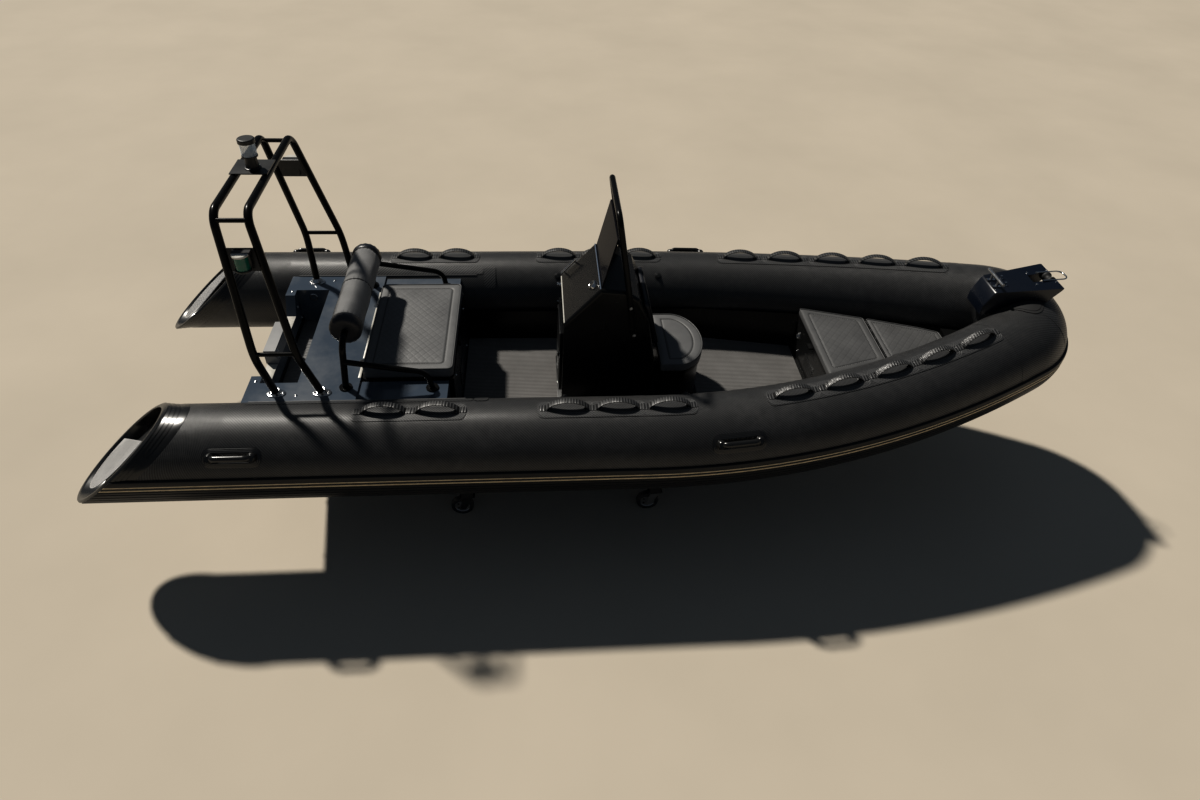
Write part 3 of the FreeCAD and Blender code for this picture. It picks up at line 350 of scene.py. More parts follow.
# each finish by its name: shade level or colour, roughness, then what else its maker takes
makers = {
    twillFabric: {"tubeTwill": ()},
    rollFabric: {"rollCloth": ()},
    ribbedFoam: {"soleFoam": ()},
    webbingStrap: {"ribbedWebbing": ()},
    hatchedRubber: {"loopPatch": (1.0, 0.013), "hatchedRubber": (0.0, 0.017)},
    mouldedGloss: {
        # the deck's large dust share paints patches of sky reflection as well as dust
        "deckGloss": (0.075, 0.12, (0.74, 0.97, 1.30), 0.26),
        "stepGloss": (0.0055, 0.2, (0.5, 1.0, 2.3), 0.005),
        "coneGloss": (0.008,), "lockerBlack": (0.008,), "handleGloss": (0.010,),
    },
    satinPlastic: {
        "hullGelcoat": (0.005, 0.30, 500.0, 0.22), "conePlate": (0.34, 0.42, 500.0),
        "strakeRubber": (0.006, 0.42, 1200.0, 0.3), "patchRubber": (0.020, 0.50, 700.0),
        "plainRubber": (0.020, 0.62, 500.0), "consoleSatin": (0.006, 0.22, 900.0, 0.20),
        "blackPlastic": (0.010, 0.34, 800.0), "bunkCarpet": (0.02, 0.9, 300.0),
        "boardPlate": (0.22, 0.4, 600.0), "wellGrey": (0.12, 0.6, 400.0),
    },
    paintedTube: {"blackTube": (0.004, 0.20), "cradlePaint": (0.030, 0.4)},
    metal: {"polishedSteel": (0.66, 0.12), "zincSteel": (0.5, 0.34, 0.1)},
    vinyl: {"greyVinyl": (0.130,), "bowVinyl": (0.094,), "blackVinyl": (0.012, 0.38, (0.85, 0.95, 1.4))},
    lens: {
        "clearLens": ((0.75, 0.85, 0.95, 1.0), 0.45, 0.06, 0.5),
        "greenLens": ((0.006, 0.13, 0.085, 1.0), 0.96), "redLens": ((0.28, 0.010, 0.010, 1.0), 0.96),
        "smokedScreen": ((0.006, 0.006, 0.008, 1.0), 0.992, 0.10, 0.02, 0.008),
    },
    plainFinish: {
        "giltLine": ((0.80, 0.65, 0.42, 1.0), 0.5), "vinylPiping": (grey(0.10), 0.42),
        "blackPiping": (grey(0.012), 0.35), "rollPiping": (grey(0.045), 0.5), "thread": (grey(0.020), 0.6),
        # paleEdge and ridgeGloss paint light caught on edges and folds
        "paleThread": (grey(0.30), 0.6), "paleEdge": ((0.55, 0.53, 0.48, 1.0), 0.35),
        "ridgeGloss": ((0.100, 0.130, 0.180, 1.0), 0.3), "darkRubber": (grey(0.008), 0.5),
    },
}
finishes = {name: maker(name, *values) for maker, rows in makers.items() for name, values in rows.items()}
print("finishes made:", len(finishes))


# shaping helpers
def meshFrom(shape, name):
    data = bpy.data.meshes.new(name)
    shape.to_mesh(data)
    shape.free()
    return data


def inScene(name, data):
    made = bpy.data.objects.new(name, data)
    bpy.context.scene.collection.objects.link(made)
    return made


def cleared(holder):
    # a helper goes once its mesh has been used
    data = holder.data
    bpy.data.objects.remove(holder)
    bpy.data.meshes.remove(data)


def piece(name, shape, looks, body="boat", replaced="", crease=35.0, outward=True):
    # a finished bmesh becomes an object on its body
    if outward:
        bmesh.ops.recalc_face_normals(shape, faces=shape.faces)
    data = meshFrom(shape, name)
    for look in looks.split():
        data.materials.append(finishes[look].material)
    data.shade_smooth()
    data.set_sharp_from_angle(angle=math.radians(crease))
    made = inScene(name, data)
    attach(made, body)
    if replaced:
        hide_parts(*replaced.split())
    return made


def join(shape, part):
    # pour one bmesh into another
    data = meshFrom(part, "pour")
    shape.from_mesh(data)
    bpy.data.meshes.remove(data)


def gathered(parts):
    shape = bmesh.new()
    for part in parts:
        join(shape, part)
    return shape


def paint(shape, index):
    for face in shape.faces:
        face.material_index = index
    return shape


def moved(shape, matrix):
    bmesh.ops.transform(shape, matrix=matrix, verts=shape.verts)
    return shape


def shifted(shape, step, verts=None):
    bmesh.ops.translate(shape, vec=step, verts=verts or shape.verts)
    return shape


def bothSides(shape):
    # add the port twin of a starboard piece
    copy = shape.copy()
    bmesh.ops.scale(copy, vec=(1, -1, 1), verts=copy.verts)
    bmesh.ops.reverse_faces(copy, faces=copy.faces)
    join(shape, copy)
    return shape


def vertsOf(grown):
    return [part for part in grown if isinstance(part, bmesh.types.BMVert)]


def openEdges(shape):
    return [edge for edge in shape.edges if edge.is_boundary]


def highest(shape):
    return max(shape.faces, key=lambda face: face.calc_center_median().z)


def largest(shape):
    return max(shape.faces, key=lambda face: face.calc_area())


def softened(shape, geom, reach, segments, affect="EDGES"):
    bmesh.ops.bevel(shape, geom=geom, offset=reach, segments=segments, affect=affect, profile=0.5,
                    material=-1)


def cutAway(shape, point, normal, inner):
    # cut along a plane and drop one side: inner drops the side behind its normal
    bmesh.ops.bisect_plane(shape, geom=shape.verts[:] + shape.edges[:] + shape.faces[:], dist=0.0001,
                           plane_co=point, plane_no=normal, clear_inner=inner, clear_outer=not inner)


def stepped(shape, face, insets, rise):
    # inset a face, once or more, then raise or sink it
    for inset in insets:
        bmesh.ops.inset_region(shape, faces=[face], thickness=inset)
    shifted(shape, (0, 0, rise), face.verts)


def polar(far, turn):
    return (far * math.cos(turn), far * math.sin(turn))


def polarDegrees(far, degrees):
    return polar(far, math.radians(degrees))


def evenly(start, finish, count):
    return [start + (finish - start) * i / count for i in range(count + 1)]


def mirrored(rows):
    # a lathe profile that ends in its middle, carried on to the other side
    return rows + [(-along, radius) for along, radius in reversed(rows[:-1])]


def oblong(x0, x1, half):
    return [(x0, -half), (x1, -half), (x1, half), (x0, half)]


def block(low, high, bevel=0.003, segments=2):
    # a box from corner to corner with softened edges
    shape = bmesh.new()
    bmesh.ops.create_cube(shape, size=1.0)
    bmesh.ops.scale(shape, vec=high - low, verts=shape.verts)
    shifted(shape, low + (high - low) / 2)
    if bevel:
        softened(shape, shape.edges, bevel, segments)
    return shape


def slab(low, high, bevel, segments=2):
    # a block between two of the boat's stations
    return block(spot(*low), spot(*high), bevel, segments)


def spun(points, axis, steps):
    shape = bmesh.new()
    verts = [shape.verts.new(point) for point in points]
    edges = [shape.edges.new(pair) for pair in zip(verts, verts[1:])]
    bmesh.ops.spin(shape, geom=verts + edges, cent=(0, 0, 0), axis=axis, angle=math.tau, steps=steps,
                   use_merge=True)
    return shape


def turned(outline, centre, axis, steps=48):
    # lathe work: points are (distance along the axis, radius)
    shape = spun([(radius, 0, along) for along, radius in outline], (0, 0, 1), steps)
    bmesh.ops.remove_doubles(shape, verts=shape.verts, dist=0.00002)
    turn = Vector(axis).to_track_quat("Z", "Y").to_matrix().to_4x4()
    return moved(shape, Matrix.Translation(centre) @ turn)


def domedBolt(place, axis, radius=0.0065, washer=1.5):
    rows = [(0.0, 0.0), (0.0, radius * washer), (0.0011, radius * washer), (0.0014, radius * washer * 0.9),
            (0.0014, radius), (0.0040, radius * 0.93), (0.0060, radius * 0.6), (0.0066, 0.0)]
    return turned(rows, place, axis, 20)


def plan(points, corner=0.0, segments=7):
    # a flat outline with rounded corners
    shape = bmesh.new()
    shape.faces.new([shape.verts.new((x, y, 0)) for x, y in points])
    if corner:
        softened(shape, shape.verts[:], corner, segments, "VERTICES")
    return shape


def raised(shape, depth, bevel, segments):
    # a plan drawn up into a solid, its top edges rounded
    grown = bmesh.ops.extrude_face_region(shape, geom=shape.faces[:])["geom"]
    shifted(shape, (0, 0, depth), vertsOf(grown))
    bmesh.ops.recalc_face_normals(shape, faces=shape.faces)
    if bevel:
        top = [e for e in shape.edges if min(v.co.z for v in e.verts) > depth * 0.5]
        softened(shape, top, bevel, segments)
    return shape


def prism(points, depth, bevel=0.0, corner=0.0, segments=3):
    return raised(plan(points, corner, 8), depth, bevel, segments)


def axesAt(place, x, y, z):
    return Matrix.Translation(place) @ Matrix((x, y, z)).transposed().to_4x4()


def frameFrom(place, ahead, up):
    # a place whose X runs ahead and whose Z leans to up
    ahead = ahead.normalized()
    side = up.cross(ahead).normalized()
    return axesAt(place, ahead, side, ahead.cross(side))


def smoothRoute(points, bends, step=8):
    # corners rounded by an arc each, as a list of points
    route = [Vector(points[0])]
    for a, b, c, bend in zip(points, points[1:], points[2:], bends):
        a, b, c = Vector(a), Vector(b), Vector(c)
        u, w = (a - b).normalized(), (c - b).normalized()
        half = u.angle(w) / 2
        centre = b + (u + w).normalized() * (bend / math.sin(half))
        first, last = (b + way * (bend / math.tan(half)) - centre for way in (u, w))
        turn = math.pi - 2 * half
        axis = first.cross(last).normalized()
        route += [centre + Matrix.Rotation(turn * i / step, 3, axis) @ first for i in range(step + 1)]
    return route + [Vector(points[-1])]


def sweep(outline, frames, capped=True):
    # a closed outline in X and Y carried from frame to frame
    shape = bmesh.new()
    points = [shape.verts.new(frames[0] @ Vector((x, y, 0))) for x, y in outline]
    edges = [shape.edges.new(pair) for pair in zip(points, points[1:] + points[:1])]
    for before, after in zip(frames, frames[1:]):
        grown = bmesh.ops.extrude_edge_only(shape, edges=edges)["geom"]
        known = set(vertsOf(grown))
        edges = [g for g in grown if isinstance(g, bmesh.types.BMEdge) and set(g.verts) <= known]
        bmesh.ops.transform(shape, matrix=after @ before.inverted(), verts=list(known))
    if capped:
        bmesh.ops.holes_fill(shape, edges=openEdges(shape))
    bmesh.ops.recalc_face_normals(shape, faces=shape.faces)
    return shape


def circleOutline(radius, sides):
    return [polar(radius, math.tau * i / sides) for i in range(sides)]


def routeFrames(route, closed=False):
    # frames with Z along the route and Y as near upright as it goes
    frames = []
    count = len(route)
    up = None
    for i, point in enumerate(route):
        before = route[i - 1] if (i or closed) else point
        after = route[(i + 1) % count] if (i < count - 1 or closed) else point
        ahead = (after - before).normalized()
        if up is None:
            up = upright if abs(ahead.z) < 0.9 else Vector((1, 0, 0))
        side = up.cross(ahead).normalized()
        up = ahead.cross(side).normalized()
        frames.append(axesAt(point, side, up, ahead))
    return frames


def tubeAlong(route, radius, sides=20, closed=False):
    # a round bar carried along a route of points
    frames = routeFrames(route, closed)
    shape = sweep(circleOutline(radius, sides), frames + frames[:1] * closed, capped=not closed)
    if closed:
        bmesh.ops.remove_doubles(shape, verts=shape.verts, dist=0.00002)
    return shape


# the ring of air tubes: straight, a long side arc, a tight nose, then back down the port side
ring = {
    "tube": 0.224, "halfTrack": 0.695, "height": 0.703, "sternEnd": -2.366, "slope": 1.136,
    "coneLength": 0.120, "bendStart": 0.097, "arcRadius": 4.859, "arcAngle": math.radians(24.9),
    "sheerStart": 0.216, "sheerRise": 0.177, "sheerLength": 1.990,
}
arcSpan = ring["arcRadius"] * ring["arcAngle"]
arcEndX = ring["bendStart"] + ring["arcRadius"] * math.sin(ring["arcAngle"])
arcEndY = ring["halfTrack"] - ring["arcRadius"] * (1 - math.cos(ring["arcAngle"]))
noseRadius = arcEndY / math.cos(ring["arcAngle"])
noseX = arcEndX - noseRadius * math.sin(ring["arcAngle"])
halfRing = arcSpan + noseRadius * (math.pi / 2 - ring["arcAngle"])
portArc = 2 * halfRing - arcSpan
sternRun = ring["sternEnd"] + ring["coneLength"] - ring["bendStart"]


def axisAt(run):
    # place and heading on the tube's axis, by the distance from where the side arc starts
    if run > halfRing:
        place, ahead = axisAt(2 * halfRing - run)
        return Vector((place.x, -place.y, place.z)), Vector((-ahead.x, ahead.y, -ahead.z))
    turn = 0.0
    if run <= 0:
        x, y = ring["bendStart"] + run, ring["halfTrack"]
    elif run <= arcSpan:
        turn = run / ring["arcRadius"]
        x = ring["bendStart"] + ring["arcRadius"] * math.sin(turn)
        y = ring["halfTrack"] - ring["arcRadius"] * (1 - math.cos(turn))
    else:
        turn = ring["arcAngle"] + (run - arcSpan) / noseRadius
        x, y = noseX + noseRadius * math.sin(turn), noseRadius * math.cos(turn)
    rise = max(0.0, x - ring["sheerStart"]) / ring["sheerLength"]
    slope = 2 * ring["sheerRise"] * rise / ring["sheerLength"] * math.cos(turn)
    place = spot(x, -y, ring["height"] + ring["sheerRise"] * rise * rise)
    return place, Vector((math.cos(turn), math.sin(turn), slope)).normalized()


def runAt(x):
    # the run of a starboard station
    if x <= ring["bendStart"]:
        return x - ring["bendStart"]
    return ring["arcRadius"] * math.asin((x - ring["bendStart"]) / ring["arcRadius"])


def tubeFrame(run, scale=1.0):
    # X points outboard, Y up and Z back along the run
    place, ahead = axisAt(run)
    out = Vector((ahead.y, -ahead.x, 0)).normalized()
    return axesAt(place, out * scale, out.cross(ahead) * scale, -ahead)


def onTube(run, angle, lift=0.0):
    # a point on the skin: angle 0 is outboard, a quarter turn is the top
    x, y = polar(ring["tube"] + lift, angle)
    return tubeFrame(run) @ Vector((x, y, 0))


def wrapped(shape, run, angle):
    # lay flat work on the tube: X runs along it, Y round it towards the cockpit, Z off its skin
    for vert in shape.verts:
        along, across, lift = vert.co
        vert.co = onTube(run + along, angle + across / ring["tube"], lift)
    return shape


def slanted(shape, run, reach):
    # shear the end that starts at run to the slope of the stern cut, fading out over reach
    for vert in shape.verts:
        along = vert.co.x - spot(ring["bendStart"] + run, 0, 0).x
        share = max(0.0, 1.0 - max(0.0, along) / reach)
        vert.co.x += share * ring["slope"] * (vert.co.z - ring["height"])
    return shape


def fabricRun(runs, lifts=None, sides=96):
    # a stretch of tube skin whose cloth map is the distance along the tube and round it
    scales = [1.0 + lift / ring["tube"] for lift in lifts or [0.0] * len(runs)]
    frames = [tubeFrame(run, scale) for run, scale in zip(runs, scales)]
    shape = sweep(circleOutline(ring["tube"], sides), frames, capped=False)
    places = {}
    shape.verts.ensure_lookup_table()
    for i, (run, frame) in enumerate(zip(runs, frames)):
        flat = frame.inverted()
        for vert in shape.verts[i * sides:(i + 1) * sides]:
            local = flat @ vert.co
            places[vert] = (run, math.atan2(local.y, local.x) % math.tau)
    cloth = shape.loops.layers.uv.new("cloth")
    for face in shape.faces:
        widest = max(places[vert][1] for vert in face.verts)
        for corner in face.loops:
            run, turn = places[corner.vert]
            lap = math.tau if widest - turn > math.pi else 0.0
            corner[cloth].uv = (run, (turn + lap) * ring["tube"])
    return shape


tubes = {
    "aftSteps": 56, "sideSteps": 84, "noseSteps": 72, "slantReach": 0.42, "weld": 0.0004,
    "tape": 0.050, "tapeLift": 0.0009, "tapeSunk": -0.0006, "tapeTurn": math.radians(33), "tapeBack": 0.12,
}
skin = slanted(fabricRun(evenly(sternRun, 0.0, tubes["aftSteps"])), sternRun, tubes["slantReach"])
join(skin, fabricRun(evenly(0.0, arcSpan, tubes["sideSteps"])))
bothSides(skin)
join(skin, fabricRun(evenly(arcSpan, portArc, tubes["noseSteps"])))
bmesh.ops.remove_doubles(skin, verts=skin.verts, dist=tubes["weld"])

# seam tapes round the tube where its panels meet
noseTurn = noseRadius * tubes["tapeTurn"]
tapeLifts = [tubes["tapeSunk"]] + [tubes["tapeLift"]] * 5 + [tubes["tapeSunk"]]
for run in (0.0, arcSpan - tubes["tapeBack"], halfRing - noseTurn, halfRing + noseTurn,
            portArc + tubes["tapeBack"], 2 * halfRing):
    edges = evenly(run - tubes["tape"] / 2, run + tubes["tape"] / 2, 4)
    join(skin, fabricRun(edges[:1] + edges + edges[-1:], tapeLifts))
piece("airTubes", skin, "tubeTwill", replaced="collar_aft collar_fore collar_bow",
      outward=False)
print("air tubes made")

# stern cones: a stepped moulded band and a sunk closing
cone = {"rim": 0.016, "depth": 0.095, "band": 0.0072, "steps": (0.0145, 0.034, 0.056, 0.078),
        "stepRise": 0.0022}
rimInner = ring["tube"] - cone["rim"]


def sternCone():
    far, rim, rise = ring["tube"], rimInner, cone["stepRise"]
    outline = [(cone["depth"], rim), (0.010, rim), (0.0035, rim + 0.002), (0.0, rim + 0.007),
               (0.0, far - 0.004), (0.004, far + 0.001)]
    lift = far + cone["band"]
    for along in cone["steps"]:
        outline += [(along - 0.001, lift - 0.0002), (along + 0.0012, lift - rise)]
        lift -= rise
    outline += [(cone["depth"] + 0.018, far + 0.0004), (ring["coneLength"] + 0.004, far - 0.001)]
    shape = spun([(along, 0, radius) for along, radius in outline], (1, 0, 0), 96)
    bmesh.ops.recalc_face_normals(shape, faces=shape.faces)
    return shape


def onCut(shape):
    # lean work along the slope of the stern cut and set it on the starboard tube
    for vert in shape.verts:
        vert.co.x += ring["slope"] * vert.co.z
    return moved(shape, Matrix.Translation(spot(ring["sternEnd"], -ring["halfTrack"], ring["height"])))


def disc(along, radius):
    shape = bmesh.new()
    bmesh.ops.create_circle(shape, cap_ends=True, radius=radius, segments=96,
                            matrix=Matrix.Translation((along, 0, 0)) @ Matrix.Rotation(-math.pi / 2, 4, "Y"))
    return shape


piece("sternCones", bothSides(onCut(sternCone())), "coneGloss", replaced="stern_cones", crease=24)
closing = disc(cone["depth"] - 0.004, rimInner - 0.0005)
piece("coneClosings", bothSides(onCut(closing)), "darkRubber", crease=20)

# the pale plate fills the low outer part of each cone, a step below the rim
plate = {"sunk": 0.009, "thick": 0.005, "radius": rimInner * 0.79, "edge": 0.0586,
         "normal": (0.0, 0.648, 0.762), "rib": 0.017, "ribs": range(-11, 7), "ribThick": 0.0016,
         "ribEnd": 0.19, "margin": 0.006}
pale = disc(plate["sunk"], plate["radius"])
cutAway(pale, Vector(plate["normal"]) * plate["edge"], plate["normal"], inner=False)
bmesh.ops.solidify(pale, geom=pale.faces[:], thickness=plate["thick"])
for i in plate["ribs"]:
    y = plate["rib"] * i
    rib = tubeAlong([Vector((plate["sunk"], y, z)) for z in (-plate["ribEnd"], plate["ribEnd"])],
                    plate["ribThick"], 8)
    inside = (plate["edge"] - plate["normal"][1] * y) / plate["normal"][2]
    reach = math.sqrt(max(0.0, (plate["radius"] - plate["margin"]) ** 2 - y ** 2))
    for vert in rib.verts:
        vert.co.z = max(-reach, min(reach, inside, vert.co.z))
    join(pale, rib)
piece("conePlates", bothSides(onCut(pale)), "conePlate", crease=30)
print("stern cones made")

# rubbing strake: a ribbed rubber band with two gilt lines; angles in degrees round the tube
strake = {
    "thick": 0.013, "top": 9, "low": -38, "start": 0.014, "slantReach": 0.5, "sunk": 0.004,
    "grooves": (-29, -23, -17, -11), "grooveWide": 0.9, "grooveDeep": 0.0030,
    "seat": 0.86, "lines": ((0.6, 0.0030), (-4.4, 0.0036)), "lineRise": 0.0009, "lineSunk": 0.0004,
}
strakeStart = ring["sternEnd"] + strake["start"] - ring["bendStart"]


def strakeOutline():
    # bottom edge to top edge as (degrees, share of the thickness), and back along the tube
    low, top, wide, seat = strake["low"], strake["top"], strake["grooveWide"], strake["seat"]
    deep = 1.0 - strake["grooveDeep"] / strake["thick"]
    marks = [(low, 0.0), (low + 0.6, 0.6), (low + 1.8, 0.93), (low + 3.4, 1.0)]
    for centre in strake["grooves"]:
        marks += [(centre - wide, 1.0), (centre - wide * 0.5, deep)]
        marks += [(centre + wide * 0.5, deep), (centre + wide, 1.0)]
    marks += [(-7.6, 1.0), (-7.0, seat), (3.2, seat), (3.8, 1.0)]
    marks += [(top - 3.0, 0.98), (top - 1.4, 0.90), (top - 0.4, 0.5), (top, 0.0)]
    out = [polarDegrees(ring["tube"] + strake["thick"] * share, degrees) for degrees, share in marks]
    return out + [polarDegrees(ring["tube"] - strake["sunk"], degrees) for degrees in (top, 0, -10, -20, -30)]


def alongStrake(outline):
    runs = evenly(strakeStart, 0.0, 8) + evenly(0.0, arcSpan, 64)[1:]
    runs += evenly(arcSpan, portArc, 48)[1:] + [2 * halfRing - run for run in reversed(runs[:-1])]
    return slanted(sweep(outline, [tubeFrame(run) for run in runs]), strakeStart, strake["slantReach"])


def giltLine(degrees, half):
    base = ring["tube"] + strake["thick"] * strake["seat"]
    turn, span = math.radians(degrees), half / base
    low, high = base - strake["lineSunk"], base + strake["lineRise"]
    return alongStrake([polar(low, turn - span), polar(high, turn - span * 0.7),
                        polar(high, turn + span * 0.7), polar(low, turn + span)])


piece("rubbingStrake", alongStrake(strakeOutline()), "strakeRubber", replaced="rubbing_strake", crease=28)
piece("strakeLines", gathered(giltLine(*line) for line in strake["lines"]), "giltLine", crease=60)
print("strake made")

# webbing loops on shared patches along the tops of the tubes
loops = {
    "groups": ((-1.118, -0.870), (-0.262, -0.024, 0.226), (0.850, 1.118, 1.390, 1.640, 1.885)),
    "span": 0.208, "rise": 0.050, "low": 0.0035, "wide": 0.028, "thick": 0.0065, "rib": 0.0058,
    "ribDeep": 0.0011,
    "patchHalf": 0.058, "patchThick": 0.0026, "aftMargin": 0.040, "foreMargin": 0.030,
    "tab": (0.030, 0.019, 0.0030), "tabCorner": 0.010,
}


def flatPatch(length, half, thick, stations=(0.0,), bend=0.030):
    # a thin patch with rounded corners; its cloth map starts afresh at each station
    shape = bmesh.new()
    bmesh.ops.create_grid(shape, x_segments=int(length / 0.012), y_segments=10, size=0.5)
    cloth = shape.loops.layers.uv.new("cloth")
    for vert in shape.verts:
        x, y = vert.co.x * length, vert.co.y * 2 * half
        square = max(0.0, abs(x) - (length / 2 - bend))
        narrow = half - (bend - math.sqrt(max(0.0, bend ** 2 - square ** 2))) if square else half
        vert.co = (x, y * narrow / half, 0)
    for face in shape.faces:
        nearest = min(stations, key=lambda s: abs(s - face.calc_center_median().x))
        for corner in face.loops:
            corner[cloth].uv = (corner.vert.co.x - nearest, corner.vert.co.y)
    grown = bmesh.ops.extrude_edge_only(shape, edges=openEdges(shape))["geom"]
    shifted(shape, (0, 0, -thick), vertsOf(grown))
    return shifted(shape, (0, 0, thick))


def loopPatch(group):
    start = runAt(group[0]) - loops["span"] / 2 - loops["aftMargin"]
    finish = runAt(group[-1]) + loops["span"] / 2 + loops["foreMargin"]
    middle = (start + finish) / 2
    stations = [runAt(x) - middle for x in group]
    shape = flatPatch(finish - start, loops["patchHalf"], loops["patchThick"], stations)
    return wrapped(shape, middle, math.pi / 2)


def loopStrap():
    # one handle: a low arch of ribbed webbing with flat tabs at its ends
    half, rise = loops["span"] / 2, loops["rise"] - loops["thick"] / 2
    stations = evenly(-half, half, int(2 * half / (loops["rib"] / 4)))
    route = [Vector((x, 0, max(loops["low"], rise * (1 - (abs(x) / half) ** 2.1) ** 0.75))) for x in stations]
    frames = []
    for i, frame in enumerate(routeFrames(route)):
        share, wave = abs(route[i].x) / half, math.cos(math.tau * i / 4)
        broad = 1.0 + 0.02 * wave + 0.30 * share ** 4
        ribbed = 1.0 + loops["ribDeep"] / loops["thick"] * wave
        frames.append(frame @ Matrix.Diagonal((broad, ribbed * (1.0 - 0.30 * share ** 6), 1.0, 1.0)))
    wide, thick = loops["wide"] / 2, loops["thick"] / 2
    section = ((1, 0), (0.93, 0.75), (0.62, 1), (0, 0.86), (-0.62, 1), (-0.93, 0.75), (-1, 0), (-0.9, -0.8),
               (-0.5, -1), (0.5, -1), (0.9, -0.8))
    shape = sweep([(wide * x, thick * y) for x, y in section], frames)
    tabHalf, tabWide, tabThick = loops["tab"]
    for side in (-1, 1):
        tab = prism(oblong(-tabHalf, tabHalf, tabWide), tabThick, 0.001, loops["tabCorner"])
        join(shape, shifted(tab, (side * (half + 0.002), 0, loops["patchThick"] - 0.0004)))
    return shape


patches = gathered(loopPatch(group) for group in loops["groups"])
straps = gathered(wrapped(loopStrap(), runAt(x), math.pi / 2) for group in loops["groups"] for x in group)
piece("loopPatches", bothSides(patches), "loopPatch", replaced="loop_pads", crease=50)
piece("loopHandles", bothSides(straps), "ribbedWebbing", replaced="loop_straps", crease=50)
print("loops made")

# side handles in stepped surrounds, each a bar between two feet
handles = {
    "stations": (-1.773, 0.533), "angle": math.radians(35), "half": 0.130, "wide": 0.048, "corner": 0.040,
    "base": 0.0022, "stepIn": (0.0042, 0.0028), "stepRise": 0.0018, "steps": 3,
    "recessIn": (0.005, 0.003), "recess": 0.0060,
    "gripHalf": 0.092, "gripRise": 0.036, "grip": 0.0125, "lean": 0.016, "bend": 0.024,
    "foot": [(0.0, 0.001), (0.0, 0.023), (0.012, 0.0225), (0.024, 0.0195), (0.031, 0.0135),
             (0.033, 0.0)],
}


def sideHandle():
    outline = oblong(-handles["half"], handles["half"], handles["wide"])
    shape = prism(outline, handles["base"], 0.0006, handles["corner"], 2)
    top = highest(shape)
    for step in range(handles["steps"]):
        stepped(shape, top, handles["stepIn"], handles["stepRise"])
    stepped(shape, top, handles["recessIn"], -handles["recess"])
    bmesh.ops.triangulate(shape, faces=[f for f in shape.faces if len(f.verts) > 4])
    bmesh.ops.subdivide_edges(shape, edges=[e for e in shape.edges if e.calc_length() > 0.03], cuts=2)
    half, rise = handles["gripHalf"], handles["gripRise"]
    knee = half - handles["lean"]
    route = smoothRoute([(-half, 0, 0.001), (-knee, 0, rise), (knee, 0, rise), (half, 0, 0.001)],
                        [handles["bend"]] * 2)
    join(shape, tubeAlong(route, handles["grip"]))
    for end in (-half, half):
        join(shape, turned(handles["foot"], Vector((end, 0, 0.002)), upright, 28))
    return shape


grips = gathered(wrapped(sideHandle(), runAt(x), handles["angle"]) for x in handles["stations"])
piece("sideHandles", bothSides(grips), "handleGloss", replaced="side_handles", crease=32)

# air valves low on the inner faces
valves = {
    "stations": (-0.270, 0.338), "angle": math.radians(130),
    "cap": [(-0.002, 0.0), (-0.002, 0.0215), (0.0025, 0.021), (0.0035, 0.0185), (0.0036, 0.0145),
            (0.0022, 0.0135), (0.0022, 0.0125), (0.0095, 0.0120), (0.0108, 0.0105), (0.0108, 0.0)],
}
caps = gathered(wrapped(turned(valves["cap"], Vector(), upright, 36), runAt(x), valves["angle"])
                for x in valves["stations"])
piece("airValves", bothSides(caps), "blackPlastic", replaced="air_valves")
print("handles and valves made")

# padded pieces: plan, simulated cloth, then quilting, stitches and piping
cloth = {
    "voxel": 0.0068, "frames": 20, "hold": 0.0055, "seamHold": 0.0042, "heldShare": 0.45, "quality": 4,
    "mass": 0.35, "stretch": 12, "shear": 6, "bending": 0.6,
}
sewing = {
    "seamWide": 0.0046, "flare": 1.25, "puff": 0.020, "quiltDip": 0.30, "quiltWide": 0.17, "topShare": 0.8,
    "piping": 0.0030, "pipingStep": 4, "stitchStep": 4,
    "stitchLow": Vector((-0.0036, -0.0009, -0.0008)), "stitchHigh": Vector((0.0036, 0.0009, 0.0009)),
}


def roundPlan(aft, shoulder, tip, half):
    # straight sides, then half an ellipse
    shape = bmesh.new()
    bmesh.ops.create_circle(shape, cap_ends=True, radius=1.0, segments=72)
    bmesh.ops.scale(shape, vec=(tip - shoulder, half, 1), verts=shape.verts)
    cutAway(shape, (0, 0, 0), (1, 0, 0), inner=True)
    straight = [e for e in shape.edges if max(abs(v.co.x) for v in e.verts) < 0.0005]
    grown = bmesh.ops.extrude_edge_only(shape, edges=straight)["geom"]
    shifted(shape, (aft - shoulder, 0, 0), vertsOf(grown))
    bmesh.ops.dissolve_faces(shape, faces=shape.faces)
    return shifted(shape, (shoulder, 0, 0))


def ringOf(shape, inset):
    # the outline drawn in by inset, as points a few millimetres apart
    copy = shape.copy()
    turns = max(1, round(inset / 0.006))
    for turn in range(turns):
        bmesh.ops.inset_region(copy, faces=copy.faces[:], thickness=inset / turns, use_boundary=True,
                               use_even_offset=True)
        whole = largest(copy)
        bmesh.ops.delete(copy, geom=[f for f in copy.faces if f is not whole], context="FACES")
        bmesh.ops.remove_doubles(copy, verts=copy.verts, dist=0.0025 if turns > 1 else 0.0001)
    if turns > 1 and len(copy.verts) < 16:
        softened(copy, copy.verts[:], 0.020, 5, "VERTICES")
    corners = [v.co.copy() for v in largest(copy).verts]
    copy.free()
    points = []
    for a, b in zip(corners, corners[1:] + corners[:1]):
        count = max(1, round((b - a).length / 0.003))
        points += [a.lerp(b, i / count) for i in range(count)]
    return points


def padForm(shape, thick, bend, under):
    # the plan raised to its thickness with a rounded top edge, and a shaped back where it lies on one
    raised(shape, thick, bend, 4)
    if under:
        bmesh.ops.triangulate(shape, faces=shape.faces)
        bmesh.ops.subdivide_edges(shape, edges=shape.edges, cuts=5)
        for vert in shape.verts:
            if vert.co.z < 0.0005:
                vert.co.z = under(vert.co.x)
    return shape


